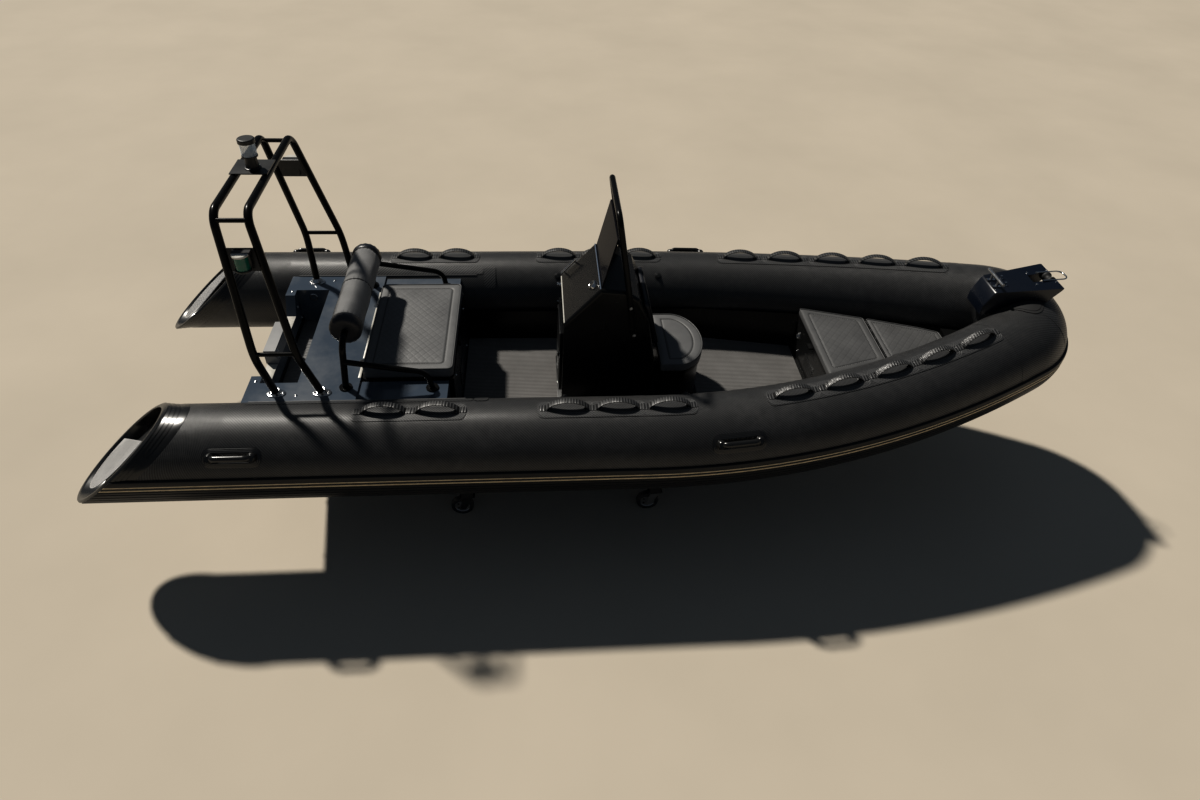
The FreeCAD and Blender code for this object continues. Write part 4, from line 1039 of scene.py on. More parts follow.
def settled(holder):
    # the holder's mesh as its modifiers leave it
    bpy.context.view_layer.update()
    shaped = holder.evaluated_get(bpy.context.evaluated_depsgraph_get())
    data = bpy.data.meshes.new_from_object(shaped)
    holder.modifiers.clear()
    old = holder.data
    holder.data = data
    bpy.data.meshes.remove(old)


def nearTo(points):
    tree = KDTree(len(points))
    for i, point in enumerate(points):
        tree.insert(point, i)
    tree.balance()
    return lambda place: tree.find(place)[2]


class Pad:
    def __init__(self, name, node, planShape, thick, place, looks, seam, quilt=0.0, body="boat", swell=4.0,
                 cap=0.008, bend=0.012, under=None, depth=0.0034):
        self.name, self.node, self.place, self.looks, self.body = name, node, place, looks, body
        self.thick, self.cap, self.quilt, self.depth, self.swell = thick, cap, quilt, depth, swell
        self.rim = [p + Vector((0, 0, thick - 0.0015)) for p in ringOf(planShape, 0.0025)]
        self.seam = [p + Vector((0, 0, thick)) for p in ringOf(planShape, seam)]
        self.holder = inScene(name, meshFrom(padForm(planShape, thick, bend, under), name))

    def remesh(self):
        change = self.holder.modifiers.new("even", "REMESH")
        change.mode, change.voxel_size = "VOXEL", cloth["voxel"]
        settled(self.holder)
        self.start = [v.co.copy() for v in self.holder.data.vertices]
        rimGap, seamGap = nearTo(self.rim), nearTo(self.seam)
        held = self.holder.vertex_groups.new(name="held")
        firm = [i for i, place in enumerate(self.start) if place.z < self.thick * cloth["heldShare"]
                or rimGap(place) < cloth["hold"] or seamGap(place) < cloth["seamHold"]]
        held.add(firm, 1.0, "REPLACE")

    def inflate(self):
        change = self.holder.modifiers.new("cloth", "CLOTH")
        fabric = change.settings
        fabric.quality, fabric.mass = cloth["quality"], cloth["mass"]
        fabric.tension_stiffness = fabric.compression_stiffness = cloth["stretch"]
        fabric.shear_stiffness, fabric.bending_stiffness = cloth["shear"], cloth["bending"]
        fabric.use_pressure = True
        fabric.uniform_pressure_force = self.swell
        fabric.vertex_group_mass = "held"
        fabric.effector_weights.gravity = 0
        change.collision_settings.use_collision = False
        change.point_cache.frame_start, change.point_cache.frame_end = 1, cloth["frames"]

    def finish(self):
        settled(self.holder)
        for vert, start in zip(self.holder.data.vertices, self.start):
            shift = vert.co - start
            if shift.length > self.cap:
                vert.co = start + shift.normalized() * self.cap
        change = self.holder.modifiers.new("fine", "SUBSURF")
        change.levels = change.render_levels = 1
        settled(self.holder)
        self.sew()
        self.trim()

    def sew(self):
        # sewn channels: the border seam and the diamonds inside it, sunk into the top; their depth is also
        # kept for the vinyl to paint as shade
        data = self.holder.data
        seamGap = nearTo(self.seam)
        inner = bmesh.new()
        inner.faces.new([inner.verts.new(p) for p in self.seam[::3]])
        lid = BVHTree.FromBMesh(inner)
        inner.free()
        # the dip is stored per point as painted shade for the vinyl finish
        seamShade = data.attributes.new("seamShade", "FLOAT", "POINT")
        for i, vert in enumerate(data.vertices):
            if vert.co.z < self.thick * sewing["topShare"]:
                continue
            level = Vector((vert.co.x, vert.co.y, self.thick))
            gap = seamGap(level)
            dip = math.exp(-(gap / sewing["seamWide"]) ** 2)
            if self.quilt and lid.ray_cast(level + upright * 0.1, -upright)[0]:
                run = vert.co.x * sewing["flare"]
                ways = (run + vert.co.y, run - vert.co.y)
                line = min(abs(math.sin(math.pi * way / self.quilt)) for way in ways)
                puff = min(1.0, gap / sewing["puff"])
                dip = max(dip, sewing["quiltDip"] * puff * math.exp(-(line / sewing["quiltWide"]) ** 2))
            vert.co.z -= self.depth * dip
            seamShade.data[i].value = dip

    def trim(self):
        # piping on the top edge and stitches along the border seam
        shape = bmesh.new()
        shape.from_mesh(self.holder.data)
        cleared(self.holder)
        route = self.rim[::sewing["pipingStep"]]
        join(shape, paint(tubeAlong(route, sewing["piping"], 10, closed=True), 1))
        tree = BVHTree.FromBMesh(shape)
        for i in range(0, len(self.seam) - 2, sewing["stitchStep"]):
            a, b = self.seam[i], self.seam[i + 1]
            hit = tree.ray_cast(a + upright * 0.05, -upright)[0]
            if hit:
                stitch = block(sewing["stitchLow"], sewing["stitchHigh"], 0)
                join(shape, paint(moved(stitch, frameFrom(hit, b - a, upright)), 2))
        moved(shape, self.place)
        made = piece(self.name, shape, self.looks, body=self.body, replaced=self.node, crease=60,
                     outward=False)


def taperPlan(x0, x1):
    # the bow locker's own outline, a little inside its edges, from station to station
    stations = [x0] + [x for x, half in bow["locker"][1:-1] if x0 < x < x1] + [x1]
    corners = [(x, lockerHalf(x) - bow["inset"]) for x in stations]
    return plan([(x, -y) for x, y in corners] + [(x, y) for x, y in reversed(corners)], bow["corner"])


def lockerHalf(x):
    rows = bow["locker"]
    for (x0, y0), (x1, y1) in zip(rows, rows[1:]):
        if x <= x1:
            return y0 + (y1 - y0) * (x - x0) / (x1 - x0)
    return rows[-1][1]


stern = {"aft": -1.2625, "front": -0.8215, "half": 0.3865, "corner": 0.026, "low": 0.875, "high": 0.937}
fore = {"aft": 0.2535, "shoulder": 0.348, "tip": 0.5105, "half": 0.2365, "low": 0.770, "high": 0.822}
bow = {
    "locker": ((1.150, 0.316), (1.512, 0.206), (1.800, 0.108), (1.905, 0.060)), "low": 0.756, "high": 0.800,
    "inset": 0.002, "corner": 0.014, "aftPad": (1.152, 1.504), "forePad": (1.520, 1.903),
}
back = {"foot": (0.204, 0.905), "head": (0.136, 1.170), "half": 0.189, "corner": 0.030, "thick": 0.036,
        "swell": 0.0145, "peak": 0.736}
crown = 0.005
foot, head = (spot(x, 0, z) for x, z in (back["foot"], back["head"]))
backLong = (head - foot).length


def bellied(along):
    # the console's face stands proud between the pad's foot and head
    peak = backLong * back["peak"]
    share = along / peak if along < peak else (backLong - along) / (backLong - peak)
    return back["swell"] * max(0.0, share) + 0.0006


def seatPad(name, node, planShape, seat, looks, **more):
    place = Matrix.Translation(spot(0, 0, seat["low"]))
    return Pad(name, node, planShape, seat["high"] - seat["low"] - crown, place, looks, **more)


pads = [
    seatPad("sternCushion", "stern_seat_cushion",
            plan(oblong(stern["aft"], stern["front"], stern["half"]), stern["corner"]), stern,
            "greyVinyl vinylPiping thread", body="stern_lid", seam=0.046, quilt=0.052),
    seatPad("foreCushion", "fore_seat_cushion",
            roundPlan(fore["aft"], fore["shoulder"], fore["tip"], fore["half"]), fore,
            "greyVinyl vinylPiping thread", body="fore_lid", seam=0.052),
    seatPad("bowCushionAft", "bow_cushion_aft", taperPlan(*bow["aftPad"]), bow,
            "bowVinyl vinylPiping paleThread", body="bow_lid", seam=0.040, quilt=0.052),
    seatPad("bowCushionFore", "bow_cushion_fore", taperPlan(*bow["forePad"]), bow,
            "bowVinyl vinylPiping paleThread", seam=0.030, quilt=0.052),
    Pad("consoleBackrest", "console_backrest",
        plan(oblong(0.002, backLong - 0.002, back["half"]), back["corner"]), back["thick"] - 0.003,
        frameFrom(foot, head - foot, Vector((1, 0, 0.2))), "blackVinyl blackPiping thread",
        seam=0.034, cap=0.005, under=bellied, bend=0.009),
]
for pad in pads:
    pad.remesh()
    pad.inflate()
for step in range(1, cloth["frames"] + 1):
    bpy.context.scene.frame_set(step)
for pad in pads:
    pad.finish()
bpy.context.scene.frame_set(1)
print("cushions made")

# the roll: a cloth sleeve with a seam ring in its middle, puckered at its ends, and two moulded caps
roll = {
    "x": -1.312, "z": 1.142, "half": 0.358, "cap": 0.054, "radius": 0.0745, "endDip": 0.0028,
    "endReach": 0.016, "ring": 0.0024, "ringSunk": 0.0012, "ringDip": 0.0022, "ringReach": 0.013,
    "pucker": 0.0022, "puckerReach": 0.014, "sag": 0.0012, "capWave": 0.018, "waveAt": 0.047,
    "waveReach": 0.007, "seamHalf": 0.004, "seamLow": -0.0010, "seamHigh": 0.0012,
    "capRows": [(0.0015, 0.0740), (0.004, 0.0765), (0.018, 0.0772), (0.034, 0.0768), (0.046, 0.0725),
                (0.0525, 0.064), (0.0545, 0.050), (0.0530, 0.030), (0.0535, 0.020), (0.0535, 0.0)],
}
core = roll["half"] - roll["cap"]
axis = spot(roll["x"], 0, roll["z"])


def swollen(shape, growth):
    # draw the skin in or out by a factor that growth gives for a place along the roll and round it
    for vert in shape.verts:
        flat = Vector((vert.co.x - axis.x, 0, vert.co.z - axis.z))
        flat *= growth(vert.co.y, math.atan2(flat.z, flat.x))
        vert.co = Vector((axis.x + flat.x, vert.co.y, axis.z + flat.z))
    return shape


def sleeveGrowth(y, turn):
    gap = min(abs(y), core - abs(y))
    wave = math.sin(turn * 23) * 0.6 + math.sin(turn * 41 + 1.3) * 0.4
    sag = roll["sag"] * math.sin(y * 31 + 2.0 * math.sin(turn * 3))
    return 1.0 + (roll["pucker"] * wave * math.exp(-gap / roll["puckerReach"]) + sag) / roll["radius"]


def capGrowth(y, turn):
    share = math.exp(-((core + roll["waveAt"] - abs(y)) / roll["waveReach"]) ** 2)
    return 1.0 + roll["capWave"] * share * math.sin(turn * 17)


def sleeveRow(along):
    nearEnd = math.exp(-((core - abs(along)) / roll["endReach"]) ** 2)
    nearRing = math.exp(-(along / roll["ringReach"]) ** 2)
    return (along, roll["radius"] - roll["endDip"] * nearEnd - roll["ringDip"] * nearRing)


def hoopRows(along):
    far = roll["radius"] - roll["ringSunk"]
    turns = evenly(-math.pi, math.pi, 10)
    return [(along + roll["ring"] * math.sin(t), far + roll["ring"] * math.cos(t)) for t in turns]


sleeveRows = [sleeveRow(along) for along in evenly(-core, core, 84)]
sleeve = swollen(turned(sleeveRows, axis, (0, 1, 0), 144), sleeveGrowth)
for along in (-core + 0.001, 0.0, core - 0.001):
    join(sleeve, paint(turned(hoopRows(along), axis, (0, 1, 0), 96), 1))
sleeveSeam = block(Vector((-roll["seamHalf"], -core, roll["seamLow"])),
                   Vector((roll["seamHalf"], core, roll["seamHigh"])), 0.0008)
join(sleeve, paint(shifted(sleeveSeam, axis + Vector((0, 0, -roll["radius"] + 0.0003))), 1))
rollCover = piece("rollCover", sleeve, "rollCloth rollPiping", replaced="backrest_roll", crease=60)


def rollCup(side):
    rows = [(side * (core + along), radius) for along, radius in roll["capRows"]]
    return swollen(turned(rows, axis, (0, 1, 0), 72), capGrowth)


cups = gathered(rollCup(side) for side in (-1, 1))
rollCaps = piece("rollCaps", cups, "blackVinyl", replaced="backrest_caps", crease=60)
print("roll made")

# arch: lobed flanges with sockets and bolts
arch = {
    "rows": ((-1.655, -1.678), (-1.440, -1.488)), "footY": 0.496, "kneeY": 0.562, "foot": 0.880,
    "knee": 1.152, "lobe": 0.0145, "waist": 0.0300, "thick": 0.0055, "bolt": 0.0335,
    "socket": [(0.002, 0.0178), (0.002, 0.0290), (0.008, 0.0268), (0.020, 0.0232), (0.0225, 0.0218),
               (0.0230, 0.0200), (0.0225, 0.0178)],
}


def archFoot(footX, kneeX, side):
    foot = spot(footX, side * arch["footY"], arch["foot"])
    knee = spot(kneeX, side * arch["kneeY"], arch["knee"])
    turns = [math.tau * i / 56 for i in range(56)]
    outline = [polar(arch["waist"] + arch["lobe"] * abs(math.cos(turn)) ** 3, turn) for turn in turns]
    shape = shifted(prism(outline, arch["thick"], 0.0014), foot)
    join(shape, turned(arch["socket"], foot, knee - foot, 40))
    for end in (-1, 1):
        bolt = foot + Vector((end * arch["bolt"], 0, arch["thick"] - 0.0003))
        join(shape, domedBolt(bolt, upright, 0.0062))
    return shape


feet = gathered(archFoot(*row, side) for row in arch["rows"] for side in (-1, 1))
piece("archFeet", feet, "polishedSteel", replaced="arch_feet")

# side lamps: a base below and a hood above the lens, cut flat against the arch; the hood is painted pale as
# painted highlight on the lamp's top
lamp = {
    "x": -1.640, "z": 1.598, "backY": 0.479, "high": 0.032, "cut": 0.004, "boltX": 0.030, "boltZ": 0.034,
    "rows": [(0.0, 0.0), (0.0, 0.0355), (0.0060, 0.0360), (0.0085, 0.0330), (0.0092, 0.0)],
}


def lampHood(side, end):
    centre = spot(lamp["x"], side * lamp["backY"], lamp["z"])
    hood = turned(lamp["rows"], centre + upright * end * lamp["high"], (0, 0, end), 56)
    cutAway(hood, centre - Vector((0, side * lamp["cut"], 0)), (0, side, 0), inner=True)
    bmesh.ops.holes_fill(hood, edges=openEdges(hood))
    return hood


bases = bmesh.new()
for side in (-1, 1):
    join(bases, lampHood(side, -1))
    for x in (-lamp["boltX"], lamp["boltX"]):
        for z in (-lamp["boltZ"], lamp["boltZ"]):
            bolt = spot(lamp["x"] + x, side * (lamp["backY"] - 0.0003), lamp["z"] + z)
            join(bases, domedBolt(bolt, (0, side, 0), 0.0032))
piece("lampBases", bases, "blackPlastic")
# painted highlight: the pale hood stands for light on the lamp's top
piece("lampHoods", gathered(lampHood(side, 1) for side in (-1, 1)), "paleEdge")

# all-round light: ribbed glass between a base with three screws and a collar
beacon = {
    "x": -1.662, "y": -0.012, "base": 1.808, "low": 0.058, "high": 0.116, "radius": 0.034,
    "ribs": 9, "rib": 0.0056, "ribDeep": 0.0018, "boltRing": 0.0315,
    "foot": [(0.0, 0.0), (0.0, 0.037), (0.0035, 0.0365), (0.005, 0.034), (0.005, 0.028)],
    "collar": [(0.053, 0.024), (0.053, 0.0352), (0.0585, 0.0352), (0.0595, 0.034), (0.0595, 0.02)],
}
beaconSpot = spot(beacon["x"], beacon["y"], beacon["base"])
rows = [(beacon["low"], 0.0), (beacon["low"], beacon["radius"] - 0.001)]
for i in range(beacon["ribs"]):
    along = beacon["low"] + 0.004 + i * beacon["rib"]
    rows += [(along, beacon["radius"] - beacon["ribDeep"]), (along + beacon["rib"] / 2, beacon["radius"])]
rows += [(beacon["high"], beacon["radius"] - 0.001), (beacon["high"], 0.0)]
piece("beaconGlass", turned(rows, beaconSpot, upright, 64), "clearLens", replaced="beacon_lens", crease=50)
mast = turned(beacon["foot"], beaconSpot, upright, 48)
join(mast, turned(beacon["collar"], beaconSpot, upright, 56))
for turn in range(3):
    x, y = polar(beacon["boltRing"], math.tau * turn / 3 + 0.4)
    join(mast, paint(domedBolt(beaconSpot + Vector((x, y, 0.0036)), upright, 0.0028), 1))
piece("beaconBase", mast, "blackPlastic polishedSteel")
print("arch fittings made")

# aft deck: motor well lining, pale strips on the deck's front edge and transom notch as painted highlights,
# drains with dark discs as painted shade, bolts and hatched strips on the tubes
deck = {
    "top": 0.880, "transomAft": transomStation, "transomIn": -1.754, "wellFront": -1.600, "wellFloor": 0.668,
    "wellHalf": 0.414, "ribs": range(-15, 16), "rib": 0.026, "ribHalf": 0.004,
    "edgeX": (-1.2880, -1.2745), "edgeY": ((-0.386, -0.272), (-0.228, 0.228), (0.272, 0.386)),
    "edgeZ": (0.8796, 0.8814), "notchX": (-1.8075, -1.7535), "notchY": ((-0.296, -0.140), (0.140, 0.296)),
    "notchZ": (0.7795, 0.7822), "boltZ": (0.800, 0.840), "clampBoltY": 0.100, "boardFront": -1.752,
    "sideBolts": ((0.364, 0.800), (0.385, 0.712)), "topBolts": ((-1.775, 0.400), (-1.560, 0.512)),
}
wellAft, wellFore, wellFloor = deck["transomIn"], deck["wellFront"], deck["wellFloor"]
liner = slab((wellAft + 0.001, -deck["wellHalf"] + 0.001, wellFloor),
             (wellFore + 0.0005, deck["wellHalf"] - 0.001, wellFloor + 0.003), 0.0012)
for i in deck["ribs"]:
    y = i * deck["rib"]
    join(liner, slab((wellAft + 0.012, y - deck["ribHalf"], wellFloor + 0.0028),
                     (wellFore - 0.012, y + deck["ribHalf"], wellFloor + 0.0044), 0.0007, 1))
piece("wellLiner", liner, "wellGrey")
# strips along the deck's front edge and the transom notch, painted pale as painted highlights where those
# edges catch the light
edgeHighlights = bmesh.new()
for where, bevel in (("edge", 0.0007), ("notch", 0.0010)):
    (x0, x1), (z0, z1) = deck[where + "X"], deck[where + "Z"]
    for y0, y1 in deck[where + "Y"]:
        join(edgeHighlights, slab((x0, y0, z0), (x1, y1, z1), bevel))
piece("deckEdgeHighlights", edgeHighlights, "paleEdge")

drain = {
    "x": -1.669, "z": 0.832, "plug": (-1.8062, 0.235, 0.560),
    "rows": [(0.0, 0.0135), (0.0, 0.0235), (0.0018, 0.0235), (0.0042, 0.0205), (0.0042, 0.0150),
             (-0.004, 0.0140), (-0.010, 0.0140)],
    "plugRows": [(0.0, 0.0), (0.0, 0.026), (0.002, 0.0255), (0.004, 0.021), (0.004, 0.013), (0.009, 0.0125),
                 (0.010, 0.0110), (0.010, 0.0)],
}
# bolts on the starboard and port halves: x, y, z, axis and radius
deckBolts = [(deck["transomIn"], y, z, (1, 0, 0), 0.0072) for y, z in deck["sideBolts"]]
deckBolts += [(x, y, deck["top"], (0, 0, 1), 0.0050) for x, y in deck["topBolts"]]
for z in deck["boltZ"]:
    deckBolts += [(deck["transomAft"], deck["clampBoltY"], z, (-1, 0, 0), 0.0075),
                  (deck["boardFront"], deck["clampBoltY"], z, (1, 0, 0), 0.0075)]
fittings, drainShadeDiscs = bmesh.new(), bmesh.new()
for side in (-1, 1):
    drainSpot = spot(drain["x"], side * deck["wellHalf"], drain["z"])
    join(fittings, turned(drain["rows"], drainSpot, (0, -side, 0), 36))
    for x, y, z, way, radius in deckBolts:
        join(fittings, domedBolt(spot(x, side * y, z), way, radius))
    x, y, z = drain["plug"]
    join(fittings, turned(drain["plugRows"], spot(x, side * y, z), (-1, 0, 0), 36))
    # painted shade: a dark disc just inside each drain bore darkens the hole
    shadeDiscSpot = spot(drain["x"], side * (deck["wellHalf"] - 0.0008), drain["z"])
    join(drainShadeDiscs, turned([(-0.003, 0.0), (-0.003, 0.0138)], shadeDiscSpot, (0, -side, 0), 32))
piece("deckBolts", fittings, "polishedSteel")
piece("drainShadeDiscs", drainShadeDiscs, "darkRubber", outward=False)

strip = {
    "x": -1.240, "size": (1.060, 0.027, 0.0022), "angle": math.radians(119), "corner": 0.012,
    "flapX": -0.672, "flap": (0.066, 0.070, 0.0034), "flapAngle": math.radians(129), "flapCorner": 0.014,
    "beadStart": -1.770, "beadStep": 0.02, "beadCount": 52, "bead": 0.0032, "beadAngle": math.radians(127.2),
    "beadLift": 0.0015,
}
strips = wrapped(flatPatch(*strip["size"], bend=strip["corner"]), runAt(strip["x"]), strip["angle"])
flap = flatPatch(*strip["flap"], bend=strip["flapCorner"])
join(strips, wrapped(flap, runAt(strip["flapX"]), strip["flapAngle"]))
bead = [onTube(runAt(strip["beadStart"] + strip["beadStep"] * i), strip["beadAngle"], strip["beadLift"])
        for i in range(strip["beadCount"])]
join(strips, paint(tubeAlong(bead, strip["bead"], 8), 1))
piece("deckStrips", bothSides(strips), "hatchedRubber vinylPiping", crease=50)
print("deck dressed")

# console: bars on the dash edges painted as highlight and sky reflection, boss, knob, foot flange and door
helm = {
    "half": 0.232, "edgeIn": 0.012, "aft": -0.276, "low": (-0.262, 1.082), "top": (-0.084, 1.282),
    "well": 0.502, "lowEdge": 0.0042, "topEdge": 0.0034, "boss": (0.222, -0.132), "knob": (1.046, 0.196),
    "flange": ((-0.2925, -0.2500, 0.5102), (0.2140, 0.2500, 0.5162)), "boltZ": 0.5158, "bolt": 0.0045,
    "sideBoltX": (-0.200, -0.020, 0.150), "sideBoltY": 0.2415, "aftBoltX": -0.2845,
    "aftBoltY": (-0.17, 0.0, 0.17),
    "bossRows": [(0.0, 0.0), (0.0, 0.0275), (0.0030, 0.0270), (0.0095, 0.0225), (0.0128, 0.0200),
                 (0.0136, 0.0175), (0.0124, 0.0155)],
    "bossCap": [(0.0122, 0.0158), (0.0116, 0.0120), (0.0122, 0.0)],
    "knobRows": [(0.0, 0.0), (0.0, 0.0150), (0.003, 0.0145), (0.004, 0.0085), (0.012, 0.0080),
                 (0.0135, 0.0120), (0.0215, 0.0125), (0.0235, 0.0105), (0.0238, 0.0)],
}
(lowX, lowZ), (topX, topZ) = helm["low"], helm["top"]
dashAlong = Vector((topX - lowX, 0, topZ - lowZ)).normalized()
dashOut = Vector((-dashAlong.z, 0, dashAlong.x))


def aftFace(z, y, lift=0.0):
    # a place on the console's leaning aft face
    share = (z - helm["well"]) / (lowZ - helm["well"])
    return spot(helm["aft"] + (lowX - helm["aft"]) * share - lift, y, z)


def edgeBar(x, z, radius):
    half = helm["half"] - helm["edgeIn"]
    return tubeAlong([spot(x, -half, z), spot(x, half, z)], radius, 12)


# the dash's low edge bar is painted as painted highlight and the top fold bar as painted sky reflection
edges = edgeBar(lowX + 0.001, lowZ - 0.001, helm["lowEdge"])
join(edges, paint(edgeBar(topX, topZ - 0.002, helm["topEdge"]), 1))
piece("consoleEdgeHighlights", edges, "paleEdge ridgeGloss")
bossRun, bossY = helm["boss"]
bossSpot = spot(lowX, bossY, lowZ) + dashAlong * bossRun
boss = turned(helm["bossRows"], bossSpot, dashOut, 48)
join(boss, paint(turned(helm["bossCap"], bossSpot, dashOut, 48), 1))
join(boss, turned(helm["knobRows"], aftFace(*helm["knob"]), (-1, 0, 0), 32))
flangeBolts = [(x, side * helm["sideBoltY"]) for side in (-1, 1) for x in helm["sideBoltX"]]
for x, y in flangeBolts + [(helm["aftBoltX"], y) for y in helm["aftBoltY"]]:
    join(boss, domedBolt(spot(x, y, helm["boltZ"]), upright, helm["bolt"]))
piece("consoleChrome", boss, "polishedSteel blackPlastic")
piece("consoleFlange", slab(*helm["flange"], 0.0022), "blackPlastic")

door = {
    "low": 0.600, "high": 0.980, "half": 0.168, "thick": 0.014, "inset": 0.022, "panel": 0.0026,
    "corner": 0.018, "frame": 0.014, "frameStep": 0.003, "sunk": 0.0018,
    "louvres": 5, "louvreStart": 0.060, "louvrePitch": 0.020,
    "louvreLow": Vector((0.0, -0.070, 0.0006)), "louvreHigh": Vector((0.010, 0.070, 0.0052)),
    "latch": (0.815, -0.128), "barLow": Vector((-0.0130, -0.0035, -0.012)),
    "barHigh": Vector((-0.0085, 0.0035, 0.012)),
    "latchRows": [(0.0, 0.0), (0.0, 0.0215), (0.0022, 0.0210), (0.0040, 0.0180), (0.0040, 0.0158)],
}
doorFoot, doorHead = (aftFace(door[end], 0.0, door["thick"]) for end in ("low", "high"))
doorLong = (doorHead - doorFoot).length
outline = oblong(door["inset"], doorLong - door["inset"], door["half"] - door["inset"])
panel = prism(outline, door["panel"], 0.0012, door["corner"])
face = max(panel.faces, key=lambda f: f.calc_center_median().z * f.calc_area())
stepped(panel, face, (door["frame"], door["frameStep"]), -door["sunk"])
for i in range(door["louvres"]):
    along = Vector((door["louvreStart"] + i * door["louvrePitch"], 0, 0))
    join(panel, block(door["louvreLow"] + along, door["louvreHigh"] + along, 0.0016))
moved(panel, frameFrom(doorFoot, doorHead - doorFoot, Vector((-1, 0, 0))))
piece("doorPanel", panel, "blackPlastic", body="console_door", crease=30)
latchSpot = aftFace(*door["latch"], door["thick"])
latch = turned(door["latchRows"], latchSpot, (-1, 0, 0), 36)
join(latch, block(latchSpot + door["barLow"], latchSpot + door["barHigh"], 0.0014))
piece("doorLatch", latch, "polishedSteel", body="console_door")
print("console dressed")

# lockers: a ring pull, bolts and vents
locker = {
    "bowAft": 1.160, "sternFront": -0.818, "pull": (0.245, 0.640), "pullRadius": 0.0155, "pullThick": 0.0022,
    "pullRows": [(0.0, 0.0), (0.0, 0.0240), (0.0018, 0.0236), (0.0030, 0.0210), (0.0030, 0.0165),
                 (0.0012, 0.0150), (0.0012, 0.0)],
    "bowBolts": ((-0.205, 0.640), (-0.205, 0.560), (0.205, 0.560)),
    "sternBolts": ((-0.300, 0.560), (-0.300, 0.820), (0.300, 0.560), (0.300, 0.820)),
    # each vent bar: lowest edge, pitch, height and half width
    "vents": 6, "sternVent": (0.600, 0.016, 0.008, 0.110), "bowVent": (0.560, 0.014, 0.007, 0.080),
}
pullSpot = spot(locker["bowAft"] - 0.0002, *locker["pull"])
chrome = turned(locker["pullRows"], pullSpot, (-1, 0, 0), 40)
pull = [pullSpot + Vector((-0.0045, y, z)) for y, z in circleOutline(locker["pullRadius"], 32)]
join(chrome, tubeAlong(pull, locker["pullThick"], 10, closed=True))
for y, z in locker["bowBolts"]:
    join(chrome, domedBolt(spot(locker["bowAft"], y, z), (-1, 0, 0), 0.0042))
for y, z in locker["sternBolts"]:
    join(chrome, domedBolt(spot(locker["sternFront"], y, z), (1, 0, 0), 0.0045))
piece("lockerChrome", chrome, "polishedSteel")
vents = bmesh.new()
for i in range(locker["vents"]):
    low, pitch, high, half = locker["sternVent"]
    x, z = locker["sternFront"], low + i * pitch
    join(vents, slab((x - 0.0004, -half, z), (x + 0.0042, half, z + high), 0.0014))
    low, pitch, high, half = locker["bowVent"]
    x, z = locker["bowAft"], low + i * pitch
    join(vents, slab((x - 0.0040, -half, z), (x + 0.0004, half, z + high), 0.0012))
piece("lockerVents", vents, "blackPlastic")
print("lockers dressed")

# bow: patch with a sunk line, rounded step with a slot, pins and a grooved roller
prow = {
    "outline": ((2.0060, 1.014), (2.0060, 1.064), (2.0100, 1.076), (2.0420, 1.1470), (2.0520, 1.1548),
                (2.3860, 1.2042), (2.3895, 1.2015), (2.3840, 1.1890), (2.2920, 1.0560)),
    "aft": 2.006, "front": 2.390, "aftHalf": 0.0840, "foreHalf": 0.1275, "edge": 0.007,
    "slotAft": 2.268, "slotFore": 2.45, "slotHalf": 0.0355, "slotLow": 1.128, "slotHigh": 0.2,
    "patchRun": 0.215, "patchHalf": 0.128, "patchAngle": math.radians(113), "patchThick": 0.0040,
    "topX": 2.050, "topZ": 1.1545, "topSlope": 0.1479, "topAxis": (-0.147, 0, 1),
    "pins": ((2.120, -0.030), (2.126, 0.034)), "boltX": (2.276, 2.380), "boltOut": 0.021,
    "pinRows": [(-0.001, 0.0), (-0.001, 0.0085), (0.0016, 0.0080), (0.0020, 0.0042), (0.0150, 0.0040),
                (0.0165, 0.0062), (0.0200, 0.0060), (0.0215, 0.0)],
    "roller": (2.372, 0, 1.184),
    "rollerRows": [(-0.0308, 0.0065), (-0.0308, 0.0240), (-0.0290, 0.0262), (-0.0240, 0.0270),
                   (-0.0190, 0.0262), (-0.0140, 0.0215), (-0.0080, 0.0180), (0.0, 0.0170)],
}
patch = flatPatch(2 * prow["patchRun"], prow["patchHalf"], prow["patchThick"], bend=0.060)
upper = flatPatch(2 * prow["patchRun"] - 0.030, prow["patchHalf"] - 0.015, 0.0022, bend=0.050)
join(patch, shifted(upper, (0, 0, prow["patchThick"])))
piece("bowPatch", wrapped(patch, halfRing, prow["patchAngle"]), "patchRubber", replaced="bow_patch",
      crease=40)


def bowStepForm():
    # the side outline drawn across the boat, wider ahead, with its long edges rounded
    shape = prism(prow["outline"], 2 * prow["aftHalf"])
    for vert in shape.verts:
        x, z, across = vert.co
        share = (x - prow["aft"]) / (prow["front"] - prow["aft"])
        half = prow["aftHalf"] + (prow["foreHalf"] - prow["aftHalf"]) * share
        vert.co = spot(x, (across / prow["aftHalf"] - 1.0) * half, z)
    bmesh.ops.recalc_face_normals(shape, faces=shape.faces)
    level = [e for e in shape.edges if abs(e.verts[0].co.y - e.verts[1].co.y) < 0.02]
    softened(shape, level, prow["edge"], 3)
    return inScene("bowStepForm", meshFrom(shape, "bowStepForm"))


stepHolder = bowStepForm()
slotShape = prism(oblong(prow["slotAft"], prow["slotFore"], prow["slotHalf"]), prow["slotHigh"])
slotHolder = inScene("slotForm", meshFrom(shifted(slotShape, spot(0, 0, prow["slotLow"])), "slotForm"))
change = stepHolder.modifiers.new("slot", "BOOLEAN")
change.operation, change.solver, change.object = "DIFFERENCE", "EXACT", slotHolder
settled(stepHolder)
stepShape = bmesh.new()
stepShape.from_mesh(stepHolder.data)
for holder in (stepHolder, slotHolder):
    cleared(holder)
piece("bowStep", stepShape, "stepGloss", replaced="bow_step", crease=30)


def onStep(x, y, lift=0.0):
    return spot(x, y, prow["topZ"] + (x - prow["topX"]) * prow["topSlope"] + lift)


